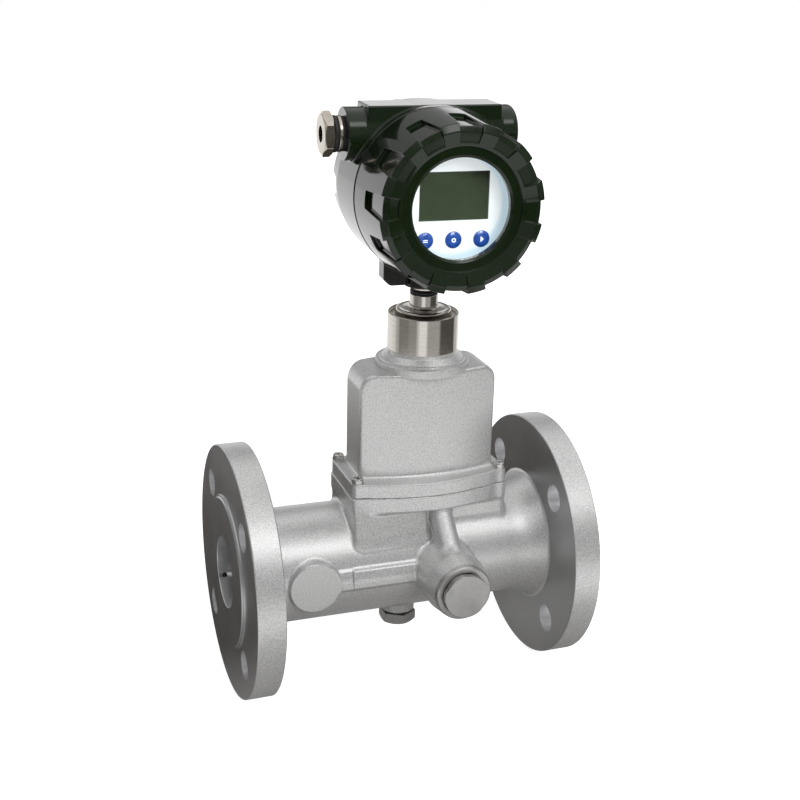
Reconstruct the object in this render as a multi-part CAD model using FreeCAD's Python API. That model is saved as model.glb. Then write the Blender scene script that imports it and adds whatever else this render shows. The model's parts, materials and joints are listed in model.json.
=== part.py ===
import FreeCAD, Part
import math
import os

# Swirl flow meter for a 50 mm pipe line: a cast body between two flanges, a
# swirler and a straightener in the bore, a hooded wiring box on top, and a
# display head that turns on a neck. Lengths are in millimetres.
# The origin is the centre of the inlet raised face. +X runs along the pipe in
# the flow direction, +Z is up, and the display looks towards -Y.

# Pipe body
body_length = 230.0
flange_diameter = 165.0
flange_thickness = 18.0
flange_edge = 1.0
raised_face_diameter = 99.0
raised_face_height = 2.0
bolt_circle = 125.0
bolt_hole_diameter = 18.0
bolt_count = 4
tube_diameter = 75.0
inlet_fillet = 4.0
flare_diameter = 87.0
flare_length = 24.0
flare_fillet = 7.0

# Flow passage
bore_diameter = 47.0
shoulder_diameter = 42.6
throat_diameter = 32.0
swirler_start = 14.0
swirler_length = 40.0
converge_length = 24.0
throat_length = 50.0
diverge_length = 32.0
straightener_length = 26.0
straightener_end = 14.0
tap_hole_diameter = 3.6
tap_hole_x = 4.1
tap_hole_angle = -34.6
tap_hole_depth = 6.0

# Swirler, straightener and their retaining rings
shroud_wall = 2.1
vane_count = 6
vane_thickness = 1.8
vane_twist = 80.0
vane_stations = 5
hub_diameter = 11.0
hub_nose = 9.0
straightener_plates = 8
plate_thickness = 1.4
clip_width = 1.5
clip_depth = 1.1
clip_inset = 1.6
clip_gap = 12.0

# Blind boss, wiring gallery and sensor boss on the front of the tube
blind_boss_x = 49.9
blind_boss_diameter = 33.7
blind_boss_reach = 40.0
gallery_reach = 41.0
gallery_top = 8.0
gallery_step = 1.6
gallery_bottom = -5.0
gallery_lip = 1.2
gallery_lip_start = 74.5
gallery_foot = 2.4
sensor_x = 137.5
sensor_boss_diameter = 41.2
sensor_boss_reach = 72.6
sensor_boss_edge = 1.2
sensor_bore_diameter = 27.0
sensor_seat_depth = 22.6
probe_body_diameter = 16.0
probe_body_length = 20.0
probe_flange_length = 2.4
probe_tip_diameter = 8.0
probe_tip_length = 21.0
clamp_ring_length = 4.0
plug_flats = 30.0
plug_hex_turn = 5.0
plug_head_length = 5.0
plug_face_diameter = 29.0
plug_shank_length = 6.0
plug_seal_thickness = 1.2

# Slanted wiring tube from the sensor boss up into the wiring box
wire_tube_diameter = 11.6
wire_channel_diameter = 4.0
wire_tube_top_y = -26.8
wire_tube_top_z = 45.0
wire_tube_foot_y = -55.6
wire_tube_foot_z = 20.3

# Drain boss below the throat
drain_x = 119.0
drain_boss_diameter = 22.8
drain_boss_reach = 43.5
drain_thread_diameter = 16.0
drain_thread_length = 9.5
drain_tap_diameter = 4.0
drain_hex_flats = 22.0
drain_hex_height = 7.3
drain_seal_thickness = 1.2
drain_seal_diameter = 21.0

# Wiring box: pedestal on the tube, hood on the pedestal
box_x = 131.4
box_half_length = 52.9
box_half_width = 25.2
box_half_bulge = 34.2
lug_length = 13.9
box_corner = 4.0
pedestal_top = 51.4
bulge_thickness = 10.8
pad_left = 78.4
pad_right = 127.8
pad_foot_y = -32.6
pad_foot_z = 19.0
pocket_half_length = 40.0
pocket_half_width = 15.0
pocket_half_bulge = 24.2
pocket_depth = 6.0
hood_flange_height = 9.5
hood_flange_edge = 1.0
hood_half_length = 46.0
hood_half_width = 14.5
hood_half_bulge = 23.0
hood_wall = 4.0
hood_top = 131.0
hood_shoulder = 11.0
hood_corner = 3.0
hood_foot = 2.5
seal_width = 2.5
seal_height = 1.6
seal_inset = 5.5

# Screws that hold the hood down
screw_inset_x = 4.0
screw_inset_y = 4.0
screw_thread_diameter = 4.0
screw_head_diameter = 7.4
screw_head_height = 3.2
screw_length = 16.0
screw_socket_flats = 3.0
screw_socket_depth = 1.8
washer_diameter = 8.2
washer_thickness = 0.8

# Signal board in the hood
preamp_length = 60.0
preamp_width = 26.0
board_thickness = 1.6
preamp_post_height = 14.0
preamp_post_diameter = 6.0
preamp_post_inset = 5.0

# Collar on the hood and the turned neck parts above it
collar_diameter = 60.2
collar_bottom = 129.1
collar_top = 134.8
ring_diameter = 44.0
ring_top = 141.7
collar_edge = 1.2
sleeve_diameter = 45.5
sleeve_top = 165.6
sleeve_edge = 1.0
sleeve_rim = 0.95
sleeve_recess = 2.0
sleeve_spigot_diameter = 31.0
sleeve_spigot_length = 12.0
sleeve_bore_length = 21.0
stem_shaft_diameter = 20.0
stem_flange_diameter = 35.4
stem_flange_depth = 7.0
stem_flange_top = 168.4
stem_neck_diameter = 18.14
stem_neck_top = 177.3
stem_groove_diameter = 13.4
stem_groove_length = 2.7
stem_cone_diameter = 15.4
stem_cone_length = 4.0
stem_thread_diameter = 17.8
stem_thread_top = 199.0
stem_bore_diameter = 9.0
stem_tail = 8.0
stem_clip_width = 1.5
stem_clip_depth = 1.0
stem_clip_reach = 2.5
stem_clip_inset = 1.6
stem_seal_depth = 1.6
stem_seal_width = 2.0
stem_seal_offset = 5.0
lock_screw_diameter = 5.0
lock_screw_length = 12.0
lock_screw_proud = 1.6
lock_screw_z = 138.4
lock_screw_angle = 181.0

# Display head: a barrel housing with a screwed cover at each end
head_turn = -2.9
head_z = 244.0
barrel_diameter = 104.4
barrel_half_length = 20.4
cover_gap = 1.0
chamber_diameter = 92.2
partition_front = 10.0
partition_thickness = 4.0
boss_diameter = 26.0
boss_bottom = 182.5
conduit_z = 277.8
conduit_boss_diameter = 32.0
conduit_half_length = 53.7
conduit_entry_diameter = 20.0
conduit_entry_depth = 15.0
conduit_passage_diameter = 13.0
conduit_end_round = 4.0
conduit_shift = 1.5
roof_z = 296.0
roof_half_length = 41.8
roof_half_width = 13.3
roof_edge = 1.0
lug_left = -28.4
lug_right = -13.0
lug_half_width = 6.0
lug_bottom = 184.2
lug_chamfer = 4.4
wire_hole_diameter = 12.0

# Covers
cover_rim_diameter = 104.0
front_cover_length = 47.4
front_cover_nose_diameter = 99.4
cover_nose_length = 2.4
cover_crest_diameter = 90.6
face_outer_diameter = 72.6
face_outer_drop = 3.0
face_step = 1.2
throat_outer_diameter = 62.6
throat_chamfer = 1.1
window_opening = 59.4
window_lip = 3.5
window_diameter = 73.0
window_thickness = 7.0
window_gasket_thickness = 0.8
window_ring_thickness = 2.0
window_ring_bore = 68.0
spigot_wall = 3.75
spigot_length = 10.0
rear_cover_rim_diameter = 102.4
rear_cover_length = 18.6
rear_cover_nose_diameter = 99.6
rear_cover_back = 4.0
notch_count = 12
notch_start = 20.1
rear_notch_start = 9.0
notch_depth = 2.7
notch_width_back = 11.6
notch_width_front = 17.2
notch_phase = -3.1
notch_inner_diameter = 77.0
cover_seal_depth = 1.6
cover_seal_width = 2.4
thread_pitch = 2.0

# Display parts
panel_face = 50.0
panel_thickness = 2.0
panel_gap = 2.3
panel_edge = 0.5
lcd_width = 42.9
lcd_height = 28.8
lcd_centre_z = 5.0
lcd_recess = 0.9
lcd_case_margin = 2.5
lcd_case_depth = 4.4
button_diameter = 10.2
button_pitch = 17.4
button_drop = 20.7
button_rise = 1.2
button_dome = 0.5
button_travel = 0.7
button_flange = 1.0
button_flange_thickness = 0.8
button_stem_diameter = 3.0
rim_width = 0.9
rim_height = 0.5
switch_size = 6.0
display_board_face = 43.6
display_board_gap = 2.3
main_board_face = 15.6
main_board_gap = 0.3
post_diameter = 5.0
post_circle = 71.0
post_count = 4
post_turn = 45.0
terminal_width = 52.0
terminal_height = 24.0
terminal_depth = 11.0
terminal_count = 6
terminal_z = 9.0
terminal_slot_depth = 5.0
terminal_screw_diameter = 5.0
terminal_screw_length = 3.2

# Cable gland in the left conduit entry
gland_seal_thickness = 1.7
gland_shoulder_diameter = 22.0
gland_shoulder_length = 2.2
gland_ring_thickness = 3.1
gland_hex_flats = 24.0
gland_hex_length = 6.4
gland_cap_wall = 2.0
gland_neck_diameter = 18.0
gland_bore_diameter = 13.0
gland_cable_diameter = 10.0
gland_face_gap = 0.1

# Clearances
thread_clearance = 0.05
running_clearance = 0.05
press_clearance = 0.02
turning_gap = 0.2
cover_end_gap = 0.9

vector = FreeCAD.Vector
x_dir = vector(1, 0, 0)
y_dir = vector(0, 1, 0)
z_dir = vector(0, 0, 1)


# Drawing helpers

def rounded_wire(points, place):
    """Closed wire through flat points; a third number rounds that corner."""
    ends = []
    for i, here in enumerate(points):
        before = points[i - 1]
        after = points[(i + 1) % len(points)]
        corner = vector(here[0], here[1], 0)
        radius = here[2] if len(here) > 2 else 0.0
        if radius == 0.0:
            ends.append((corner, None, corner))
            continue
        back = (vector(before[0], before[1], 0) - corner).normalize()
        ahead = (vector(after[0], after[1], 0) - corner).normalize()
        half = back.getAngle(ahead) / 2
        middle = (back + ahead).normalize()
        start = corner + back * (radius / math.tan(half))
        end = corner + ahead * (radius / math.tan(half))
        crown = corner + middle * (radius / math.sin(half) - radius)
        ends.append((start, crown, end))
    edges = []
    for i, (start, crown, end) in enumerate(ends):
        last = ends[i - 1][2]
        if last.distanceToPoint(start) > 1e-6:
            edges.append(Part.LineSegment(place(last), place(start)).toShape())
        if crown is not None:
            edges.append(Part.Arc(place(start), place(crown), place(end)).toShape())
    return Part.Wire(edges)


def turned(points, origin, axis, radial):
    """Solid turned about an axis from (distance along, radius) points."""
    wire = rounded_wire(points, lambda p: origin + axis * p.x + radial * p.y)
    return solid_of(Part.Face(wire).revolve(origin, axis, 360))


def turned_x(points):
    return turned(points, vector(0, 0, 0), x_dir, z_dir)


def turned_z(points, x=0.0, y=0.0):
    """Turned about a vertical axis from (height, radius) points."""
    return turned(points, vector(x, y, 0), z_dir, x_dir)


def turned_y(points, x=0.0, z=0.0):
    """Turned about an axis that points towards the viewer, -Y."""
    return turned(points, vector(x, 0, z), -y_dir, x_dir)


def solid_of(shape):
    """A shape's single solid, facing outwards."""
    solid = shape if shape.ShapeType == "Solid" else Part.Solid(shape.Shells[0])
    if solid.Volume < 0:
        solid.reverse()
    return solid


def rod(diameter, start, end):
    """Plain cylinder between two points."""
    run = end - start
    return Part.makeCylinder(diameter / 2, run.Length, start, run)


def tube(outer, inner, start, end):
    return rod(outer, start, end).cut(rod(inner, start, end))


def block(low, high):
    """Box between two opposite corners."""
    size = [b - a for a, b in zip(low, high)]
    return Part.makeBox(size[0], size[1], size[2], vector(*low))


def flat_prism(points, place, run):
    """Straight prism of a flat outline."""
    return Part.Face(rounded_wire(points, place)).extrude(run)


def hexagon(flats, start, run, turn_degrees=0.0, up=z_dir):
    """Hexagonal bar of a width across flats, with a corner at the given turn."""
    axis = vector(run).normalize()
    side = axis.cross(up).normalize()
    top = side.cross(axis)
    corner_radius = flats / math.sqrt(3)
    points = []
    for i in range(6):
        angle = math.radians(60 * i + turn_degrees)
        points.append((corner_radius * math.cos(angle), corner_radius * math.sin(angle)))
    return flat_prism(points, lambda p: start + side * p.x + top * p.y, run)


def turned_hexagon(flats, face_diameter, start, run, turn_degrees=0.0, up=z_dir):
    """Hexagonal bar whose outer end is turned down to a round face at 30 degrees."""
    bar = hexagon(flats, start, run, turn_degrees, up)
    length = run.Length
    corner = flats / math.sqrt(3)
    drop = (corner - face_diameter / 2) * math.tan(math.radians(30))
    cone = turned([(-1.0, 0.0), (-1.0, corner + 1.0), (length - drop, corner + 0.001),
                   (length, face_diameter / 2), (length, 0.0)],
                  start, vector(run).normalize(), any_normal(run))
    return solid_of(bar.common(cone).Solids[0])


def any_normal(run):
    """A unit vector at right angles to a direction."""
    helper = z_dir if abs(run.z) < 0.5 * run.Length else x_dir
    return run.cross(helper).normalize()


def near(value, target, room=0.01):
    return abs(value - target) < room


def rounded(shape, radius, wanted):
    """Fillet on the edges that a test picks."""
    picked = [edge for edge in shape.Edges if wanted(edge)]
    return shape.makeFillet(radius, picked)


def bulged_wire(half_length, half_width, half_bulge, lug, x, z):
    """Plan outline whose two long sides bow outwards between straight lugs."""
    arc_half = half_length - lug
    front_left = vector(x - arc_half, -half_width, z)
    front_right = vector(x + arc_half, -half_width, z)
    rear_left = vector(x - arc_half, half_width, z)
    rear_right = vector(x + arc_half, half_width, z)
    front_crown = vector(x, -half_bulge, z)
    rear_crown = vector(x, half_bulge, z)
    corners = [vector(x + sx * half_length, sy * half_width, z)
               for sx, sy in ((-1, -1), (1, -1), (1, 1), (-1, 1))]
    edges = [Part.Arc(front_left, front_crown, front_right).toShape()]
    if lug > 0:
        edges.append(Part.LineSegment(front_right, corners[1]).toShape())
    edges.append(Part.LineSegment(corners[1], corners[2]).toShape())
    if lug > 0:
        edges.append(Part.LineSegment(corners[2], rear_right).toShape())
    edges.append(Part.Arc(rear_right, rear_crown, rear_left).toShape())
    if lug > 0:
        edges.append(Part.LineSegment(rear_left, corners[3]).toShape())
    edges.append(Part.LineSegment(corners[3], corners[0]).toShape())
    if lug > 0:
        edges.append(Part.LineSegment(corners[0], front_left).toShape())
    return Part.Wire(Part.__sortEdges__(edges))


def bulged_block(half_length, half_width, half_bulge, lug, bottom, top, corner=0.0):
    """Block of the bowed plan, with its four upright corners rounded."""
    wire = bulged_wire(half_length, half_width, half_bulge, lug, box_x, bottom)
    shape = Part.Face(wire).extrude(z_dir * (top - bottom))
    if corner == 0.0:
        return shape

    def upright_corner(edge):
        middle = edge.CenterOfMass
        upright = near(edge.BoundBox.ZLength, top - bottom)
        return upright and near(abs(middle.x - box_x), half_length)

    return rounded(shape, corner, upright_corner)


def head_place(shape, back=False):
    """Move a head part from its own axes to its place on the neck."""
    placed = shape.copy()
    if back:
        placed.rotate(vector(0, 0, 0), z_dir, 180)
    placed.rotate(vector(0, 0, 0), z_dir, head_turn)
    placed.translate(vector(box_x, 0, 0))
    return placed


# Places worked out from the sizes

tube_radius = tube_diameter / 2
bore_radius = bore_diameter / 2
shoulder_radius = shoulder_diameter / 2
throat_radius = throat_diameter / 2
inlet_flange_back = raised_face_height + flange_thickness
outlet_flange_back = body_length - inlet_flange_back
swirler_end = swirler_start + swirler_length
throat_start = swirler_end + converge_length
throat_end = throat_start + throat_length
diverge_end = throat_end + diverge_length
straightener_out = body_length - straightener_end
straightener_in = straightener_out - straightener_length
hood_flange_top = pedestal_top + hood_flange_height
screw_x = box_half_length - screw_inset_x
screw_y = box_half_width - screw_inset_y
pocket_floor = pedestal_top - pocket_depth
sensor_seat_y = -(sensor_boss_reach - sensor_seat_depth)
collar_radius = collar_diameter / 2
sleeve_radius = sleeve_diameter / 2
sleeve_floor = sleeve_top - sleeve_recess
stem_flange_bottom = stem_flange_top - stem_flange_depth
sleeve_bore_bottom = stem_flange_bottom - turning_gap - sleeve_bore_length
chamber_radius = chamber_diameter / 2
spigot_radius = chamber_radius - running_clearance
cavity_radius = spigot_radius - spigot_wall
panel_radius = cavity_radius - panel_gap
barrel_radius = barrel_diameter / 2
cover_start = barrel_half_length + cover_gap
spigot_end = cover_start - cover_gap - spigot_length + cover_end_gap
conduit_left = -conduit_half_length


# Pipe body casting

def body_outside():
    """Flanges, tube and outlet flare, turned in one profile."""
    flange_radius = flange_diameter / 2
    raised_radius = raised_face_diameter / 2
    flare_radius = flare_diameter / 2
    far = body_length
    profile = [
        (0, 0), (0, raised_radius, 0.5), (raised_face_height, raised_radius),
        (raised_face_height, flange_radius, flange_edge),
        (inlet_flange_back, flange_radius, flange_edge),
        (inlet_flange_back, tube_radius, inlet_fillet),
        (outlet_flange_back - flare_length, tube_radius, flare_fillet * 3),
        (outlet_flange_back, flare_radius, flare_fillet),
        (outlet_flange_back, flange_radius, flange_edge),
        (far - raised_face_height, flange_radius, flange_edge),
        (far - raised_face_height, raised_radius), (far, raised_radius, 0.5), (far, 0),
    ]
    return turned_x(profile)


def flow_passage():
    """Everything the gas runs through, with the seats for the inserts."""
    clip_radius = bore_radius + clip_depth
    clip_in = swirler_start - clip_width - press_clearance
    clip_out = straightener_out + clip_width + press_clearance
    return turned_x([
        (-1, 0), (-1, bore_radius),
        (clip_in, bore_radius), (clip_in, clip_radius),
        (swirler_start, clip_radius), (swirler_start, bore_radius),
        (swirler_end, bore_radius), (swirler_end, shoulder_radius),
        (throat_start, throat_radius), (throat_end, throat_radius),
        (diverge_end, shoulder_radius), (straightener_in, shoulder_radius),
        (straightener_in, bore_radius), (straightener_out, bore_radius),
        (straightener_out, clip_radius), (clip_out, clip_radius),
        (clip_out, bore_radius), (body_length + 1, bore_radius), (body_length + 1, 0),
    ])


def bolt_holes():
    """Four through holes in both flanges, astride the centre lines."""
    cutters = []
    for i in range(bolt_count):
        angle = math.radians(360 / bolt_count * (i + 0.5))
        y = bolt_circle / 2 * math.cos(angle)
        z = bolt_circle / 2 * math.sin(angle)
        cutters.append(rod(bolt_hole_diameter, vector(0, y, z), vector(body_length, y, z)))
    window_low = (inlet_flange_back + 1, -flange_diameter, -flange_diameter)
    window_high = (outlet_flange_back - 1, flange_diameter, flange_diameter)
    return [cutter.cut(block(window_low, window_high)) for cutter in cutters]


def blind_boss():
    """Round cast boss near the inlet, left unmachined."""
    return turned_y([(0, 0), (0, blind_boss_diameter / 2),
                     (blind_boss_reach, blind_boss_diameter / 2, 1.0), (blind_boss_reach, 0)],
                    blind_boss_x)


def gallery():
    """Cast ridge that runs along the tube from the blind boss to the sensor boss."""
    def across(p):
        return vector(blind_boss_x, p.x, p.y)

    reach = -gallery_reach
    root = -tube_radius + 8
    plain_run = x_dir * (sensor_x - blind_boss_x)
    plain = flat_prism([(root, gallery_top + gallery_foot), (reach + 3.4, gallery_top, 1.0),
                        (reach + gallery_lip, gallery_step, 1.0), (reach + gallery_lip, gallery_bottom, 1.2),
                        (root, gallery_bottom - gallery_foot)], across, plain_run)
    lip_run = x_dir * (sensor_x - gallery_lip_start)
    lip = flat_prism([(root, gallery_top + gallery_foot), (reach + 2.2, gallery_top, 1.0),
                      (reach, gallery_step, 0.8), (reach, gallery_bottom + 0.8, 1.0),
                      (root, gallery_bottom - gallery_foot + 0.8)], across, lip_run)
    lip.translate(x_dir * (gallery_lip_start - blind_boss_x))
    return plain.fuse(lip)


def sensor_boss():
    """Long round boss that holds the vortex probe."""
    radius = sensor_boss_diameter / 2
    return turned_y([(0, 0), (0, radius), (sensor_boss_reach, radius, sensor_boss_edge),
                     (sensor_boss_reach, 0)], sensor_x)


def wire_tube_line():
    """Upper and lower points of the slanted tube's centre line."""
    top = vector(sensor_x, wire_tube_top_y, wire_tube_top_z)
    foot = vector(sensor_x, wire_tube_foot_y, wire_tube_foot_z)
    return top, foot


def wire_tube():
    top, foot = wire_tube_line()
    slope = (foot - top).normalize()
    return rod(wire_tube_diameter, top, foot + slope * wire_tube_diameter)


def wire_channel():
    top, foot = wire_tube_line()
    slope = (foot - top).normalize()
    drop = (foot.z - sensor_bore_diameter / 2 + 1.5) / -slope.z
    return rod(wire_channel_diameter, top - slope * 8.0, foot + slope * drop)


def drain_boss():
    start = vector(drain_x, 0, -throat_radius)
    return rod(drain_boss_diameter, start, vector(drain_x, 0, -drain_boss_reach))


def pedestal():
    """Cast foot of the wiring box, with bowed top slab and a drafted pad below it."""
    slab = bulged_block(box_half_length, box_half_width, box_half_bulge, lug_length,
                        pedestal_top - bulge_thickness, pedestal_top, box_corner)
    walls = block((box_x - box_half_length, -box_half_width, throat_radius),
                  (box_x + box_half_length, box_half_width, pedestal_top))

    def upright_corner(edge):
        return near(edge.BoundBox.ZLength, pedestal_top - throat_radius)

    walls = rounded(walls, box_corner, upright_corner)
    pad = flat_prism([(-box_half_width + 1, pedestal_top - 1), (-box_half_width, pedestal_top - 1),
                      (pad_foot_y, pad_foot_z), (-throat_radius, throat_radius)],
                     lambda p: vector(pad_left, p.x, p.y), x_dir * (pad_right - pad_left))
    return slab.fuse([walls, pad])


def make_meter_body():
    """The whole casting with its machined holes."""
    shape = body_outside().fuse([blind_boss(), gallery(), sensor_boss(), wire_tube(),
                                 drain_boss(), pedestal()])
    seat = vector(sensor_x, sensor_seat_y, 0)
    mouth = vector(sensor_x, -sensor_boss_reach - 1, 0)
    probe_end = vector(sensor_x, sensor_seat_y + probe_body_length, 0)
    tap_angle = math.radians(tap_hole_angle)
    tap_way = vector(0, math.cos(tap_angle), math.sin(tap_angle))
    tap_start = vector(tap_hole_x, 0, 0) + tap_way * (bore_radius - 1)
    drain_mouth = vector(drain_x, 0, -drain_boss_reach)
    drain_deep = drain_mouth + z_dir * drain_thread_length
    cutters = [
        flow_passage(),
        rod(sensor_bore_diameter, mouth, seat),
        rod(probe_body_diameter, seat, probe_end),
        rod(probe_tip_diameter + 2.0, probe_end, vector(sensor_x, -throat_radius + 2, 0)),
        wire_channel(),
        rod(tap_hole_diameter, tap_start, tap_start + tap_way * (tap_hole_depth + 1)),
        rod(drain_thread_diameter, drain_mouth - z_dir, drain_deep),
        rod(drain_tap_diameter, drain_deep, vector(drain_x, 0, -throat_radius + 2)),
        bulged_block(pocket_half_length, pocket_half_width, pocket_half_bulge, 0,
                     pocket_floor, pedestal_top + 1, box_corner),
        seal_ring(seal_height, 0.0),
    ]
    cutters += bolt_holes()
    for x, y in hood_screw_places():
        cutters.append(rod(screw_thread_diameter, vector(x, y, pedestal_top - screw_depth() - 1),
                           vector(x, y, pedestal_top + 1)))
    return solid_of(shape.cut(cutters).removeSplitter().Solids[0])


def seal_ring(height, clearance):
    """Closed ring of the bowed plan that lies in the pedestal's top."""
    bottom = pedestal_top - height
    outer = bulged_block(pocket_half_length + seal_inset - clearance,
                         pocket_half_width + seal_inset - clearance,
                         pocket_half_bulge + seal_inset - clearance, 0, bottom, pedestal_top, box_corner)
    inset = seal_inset - seal_width + clearance
    inner = bulged_block(pocket_half_length + inset, pocket_half_width + inset,
                         pocket_half_bulge + inset, 0, bottom, pedestal_top, box_corner)
    return outer.cut(inner)


def hood_screw_places():
    return [(box_x + sx * screw_x, sy * screw_y) for sx in (-1, 1) for sy in (-1, 1)]


def screw_depth():
    """How far a hood screw reaches below the parting face."""
    return screw_length - hood_flange_height - washer_thickness


# Flow inserts

def shroud(start, length):
    outer = bore_diameter - 2 * running_clearance
    return tube(outer, outer - 2 * shroud_wall, vector(start, 0, 0), vector(start + length, 0, 0))


def vane_section(x, turn_degrees, thickness, root, tip):
    """Flat vane section across the pipe, at one station."""
    half = thickness / 2
    wire = rounded_wire([(root, -half), (tip, -half), (tip, half), (root, half)],
                        lambda p: vector(x, p.x, p.y))
    wire.rotate(vector(x, 0, 0), x_dir, turn_degrees)
    return wire


def make_swirler():
    """Shroud, hub and twisted vanes that set the gas spinning."""
    hub_start = swirler_start + 1.0
    hub_radius = hub_diameter / 2
    hub = turned_x([(hub_start, 0), (hub_start + hub_nose, hub_radius, 6.0),
                    (swirler_end, hub_radius), (swirler_end, 0)])
    vane_start = hub_start + hub_nose
    vane_length = swirler_end - vane_start
    tip = bore_radius - running_clearance - shroud_wall / 2
    pieces = [shroud(swirler_start, swirler_length)]
    for k in range(vane_count):
        wires = []
        for i in range(vane_stations):
            share = i / (vane_stations - 1)
            wires.append(vane_section(vane_start + vane_length * share,
                                      360 / vane_count * k + vane_twist * share ** 1.4,
                                      vane_thickness, hub_radius / 2, tip))
        pieces.append(Part.makeLoft(wires, True, False))
    return solid_of(hub.fuse(pieces).Solids[0])


def make_flow_straightener():
    """Ring with straight plates that take the spin out again."""
    half = plate_thickness / 2
    tip = bore_radius - running_clearance - shroud_wall / 2
    hub = rod(hub_diameter, vector(straightener_in, 0, 0), vector(straightener_out, 0, 0))
    pieces = [shroud(straightener_in, straightener_length)]
    for k in range(straightener_plates):
        plate = block((straightener_in, 1, -half), (straightener_out, tip, half))
        plate.rotate(vector(0, 0, 0), x_dir, 360 / straightener_plates * (k + 0.5))
        pieces.append(plate)
    return solid_of(hub.fuse(pieces).removeSplitter().Solids[0])


def retaining_ring(start):
    """Open spring ring that sits in a groove of the bore."""
    outer = bore_diameter + 2 * clip_depth - 2 * thread_clearance
    inner = outer - 2 * (clip_depth + clip_inset)
    ring = tube(outer, inner, vector(start, 0, 0), vector(start + clip_width, 0, 0))
    half = clip_gap / 2
    gap = block((start - 1, -half, -outer), (start + clip_width + 1, half, 0))
    return solid_of(ring.cut(gap).Solids[0])


# Sensor group

def make_vortex_probe():
    """Flanged piezo probe whose round-nosed tip stands in the gas."""
    base = -sensor_seat_y
    body_end = base - probe_body_length
    tip_end = body_end - probe_tip_length
    flange_radius = sensor_bore_diameter / 2 - thread_clearance
    body_radius = probe_body_diameter / 2 - thread_clearance
    return turned_y([(base + probe_flange_length, 0), (base + probe_flange_length, flange_radius),
                     (base, flange_radius), (base, body_radius),
                     (body_end + thread_clearance, body_radius),
                     (body_end + thread_clearance, probe_tip_diameter / 2),
                     (tip_end, probe_tip_diameter / 2, 3.0), (tip_end, 0)], sensor_x)


def make_probe_clamp_ring():
    """Threaded ring that presses the probe's flange on its seat."""
    base = sensor_seat_y - probe_flange_length
    outer = sensor_bore_diameter - 2 * thread_clearance
    return tube(outer, probe_body_diameter, vector(sensor_x, base, 0),
                vector(sensor_x, base - clamp_ring_length, 0))


def make_sensor_plug():
    """Hexagon plug that closes the sensor boss."""
    face = -(sensor_boss_reach + plug_seal_thickness)
    start = vector(sensor_x, face, 0)
    head = turned_hexagon(plug_flats, plug_face_diameter, start,
                          -y_dir * (plug_head_length - plug_seal_thickness), plug_hex_turn)
    shank = rod(sensor_bore_diameter - 2 * thread_clearance,
                vector(sensor_x, -(sensor_boss_reach - plug_shank_length), 0), start)
    return head.fuse(shank).removeSplitter()


def make_sensor_plug_seal():
    return tube(plug_flats, sensor_bore_diameter,
                vector(sensor_x, -sensor_boss_reach - plug_seal_thickness, 0),
                vector(sensor_x, -sensor_boss_reach, 0))


def make_drain_plug():
    """Hexagon plug below the throat."""
    face = -drain_boss_reach - drain_seal_thickness
    head = turned_hexagon(drain_hex_flats, drain_hex_flats - 1.0, vector(drain_x, 0, face),
                          -z_dir * drain_hex_height, 0.0, x_dir)
    shank = rod(drain_thread_diameter - 2 * thread_clearance,
                vector(drain_x, 0, -drain_boss_reach + drain_thread_length - 1.5),
                vector(drain_x, 0, face))
    return head.fuse(shank).removeSplitter()


def make_drain_plug_seal():
    return tube(drain_seal_diameter, drain_thread_diameter,
                vector(drain_x, 0, -drain_boss_reach - drain_seal_thickness),
                vector(drain_x, 0, -drain_boss_reach))


# Hood

def hood_shell(half_length, half_width, half_bulge, bottom, top, shoulder, corner):
    """Bowed box whose two end walls turn over into the roof."""
    shape = bulged_block(half_length, half_width, half_bulge, 0, bottom, top, corner)
    face = flat_prism([(box_x - half_length, bottom), (box_x + half_length, bottom),
                       (box_x + half_length, top, shoulder), (box_x - half_length, top, shoulder)],
                      lambda p: vector(p.x, -2 * half_bulge, p.y), y_dir * (4 * half_bulge))
    return shape.common(face)


def make_hood_cover():
    """Hollow hood with its screw flange, collar and ring in one casting."""
    flange = bulged_block(box_half_length, box_half_width, box_half_bulge, lug_length,
                          pedestal_top, hood_flange_top, box_corner)

    def flange_top_edge(edge):
        return near(edge.BoundBox.ZMin, hood_flange_top) and near(edge.BoundBox.ZLength, 0)

    flange = rounded(flange, hood_flange_edge, flange_top_edge)
    shell = hood_shell(hood_half_length, hood_half_width, hood_half_bulge,
                       hood_flange_top - 2, hood_top, hood_shoulder, hood_corner)

    def front_top_edge(edge):
        box = edge.BoundBox
        return near(box.ZMin, hood_top) and box.XLength > hood_half_length

    shell = rounded(shell, hood_foot, front_top_edge)
    inner = hood_shell(hood_half_length - hood_wall, hood_half_width - hood_wall,
                       hood_half_bulge - hood_wall, pedestal_top - 1, hood_top - hood_wall,
                       hood_shoulder - hood_wall, hood_corner)
    collar = turned_z([(hood_top - 2, 0), (collar_bottom, collar_radius - 6),
                       (collar_bottom, collar_radius, 0.8), (collar_top, collar_radius, collar_edge),
                       (collar_top, ring_diameter / 2), (ring_top, ring_diameter / 2, collar_edge),
                       (ring_top, 0)], box_x)
    hole = rod(sleeve_spigot_diameter, vector(box_x, 0, hood_top - hood_wall - 1),
               vector(box_x, 0, ring_top + 1))
    way = lock_screw_way()
    start = vector(box_x, 0, lock_screw_z)
    cutters = [inner, hole, rod(lock_screw_diameter, start + way * (sleeve_spigot_diameter / 2 - 1),
                                start + way * collar_radius)]
    for x, y in hood_screw_places():
        cutters.append(rod(screw_thread_diameter + 0.5, vector(x, y, pedestal_top - 1),
                           vector(x, y, hood_flange_top + 1)))
    shape = flange.fuse([shell, collar]).cut(cutters)
    return solid_of(shape.removeSplitter().Solids[0])


def lock_screw_way():
    angle = math.radians(lock_screw_angle)
    return vector(math.cos(angle), math.sin(angle), 0)


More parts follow.
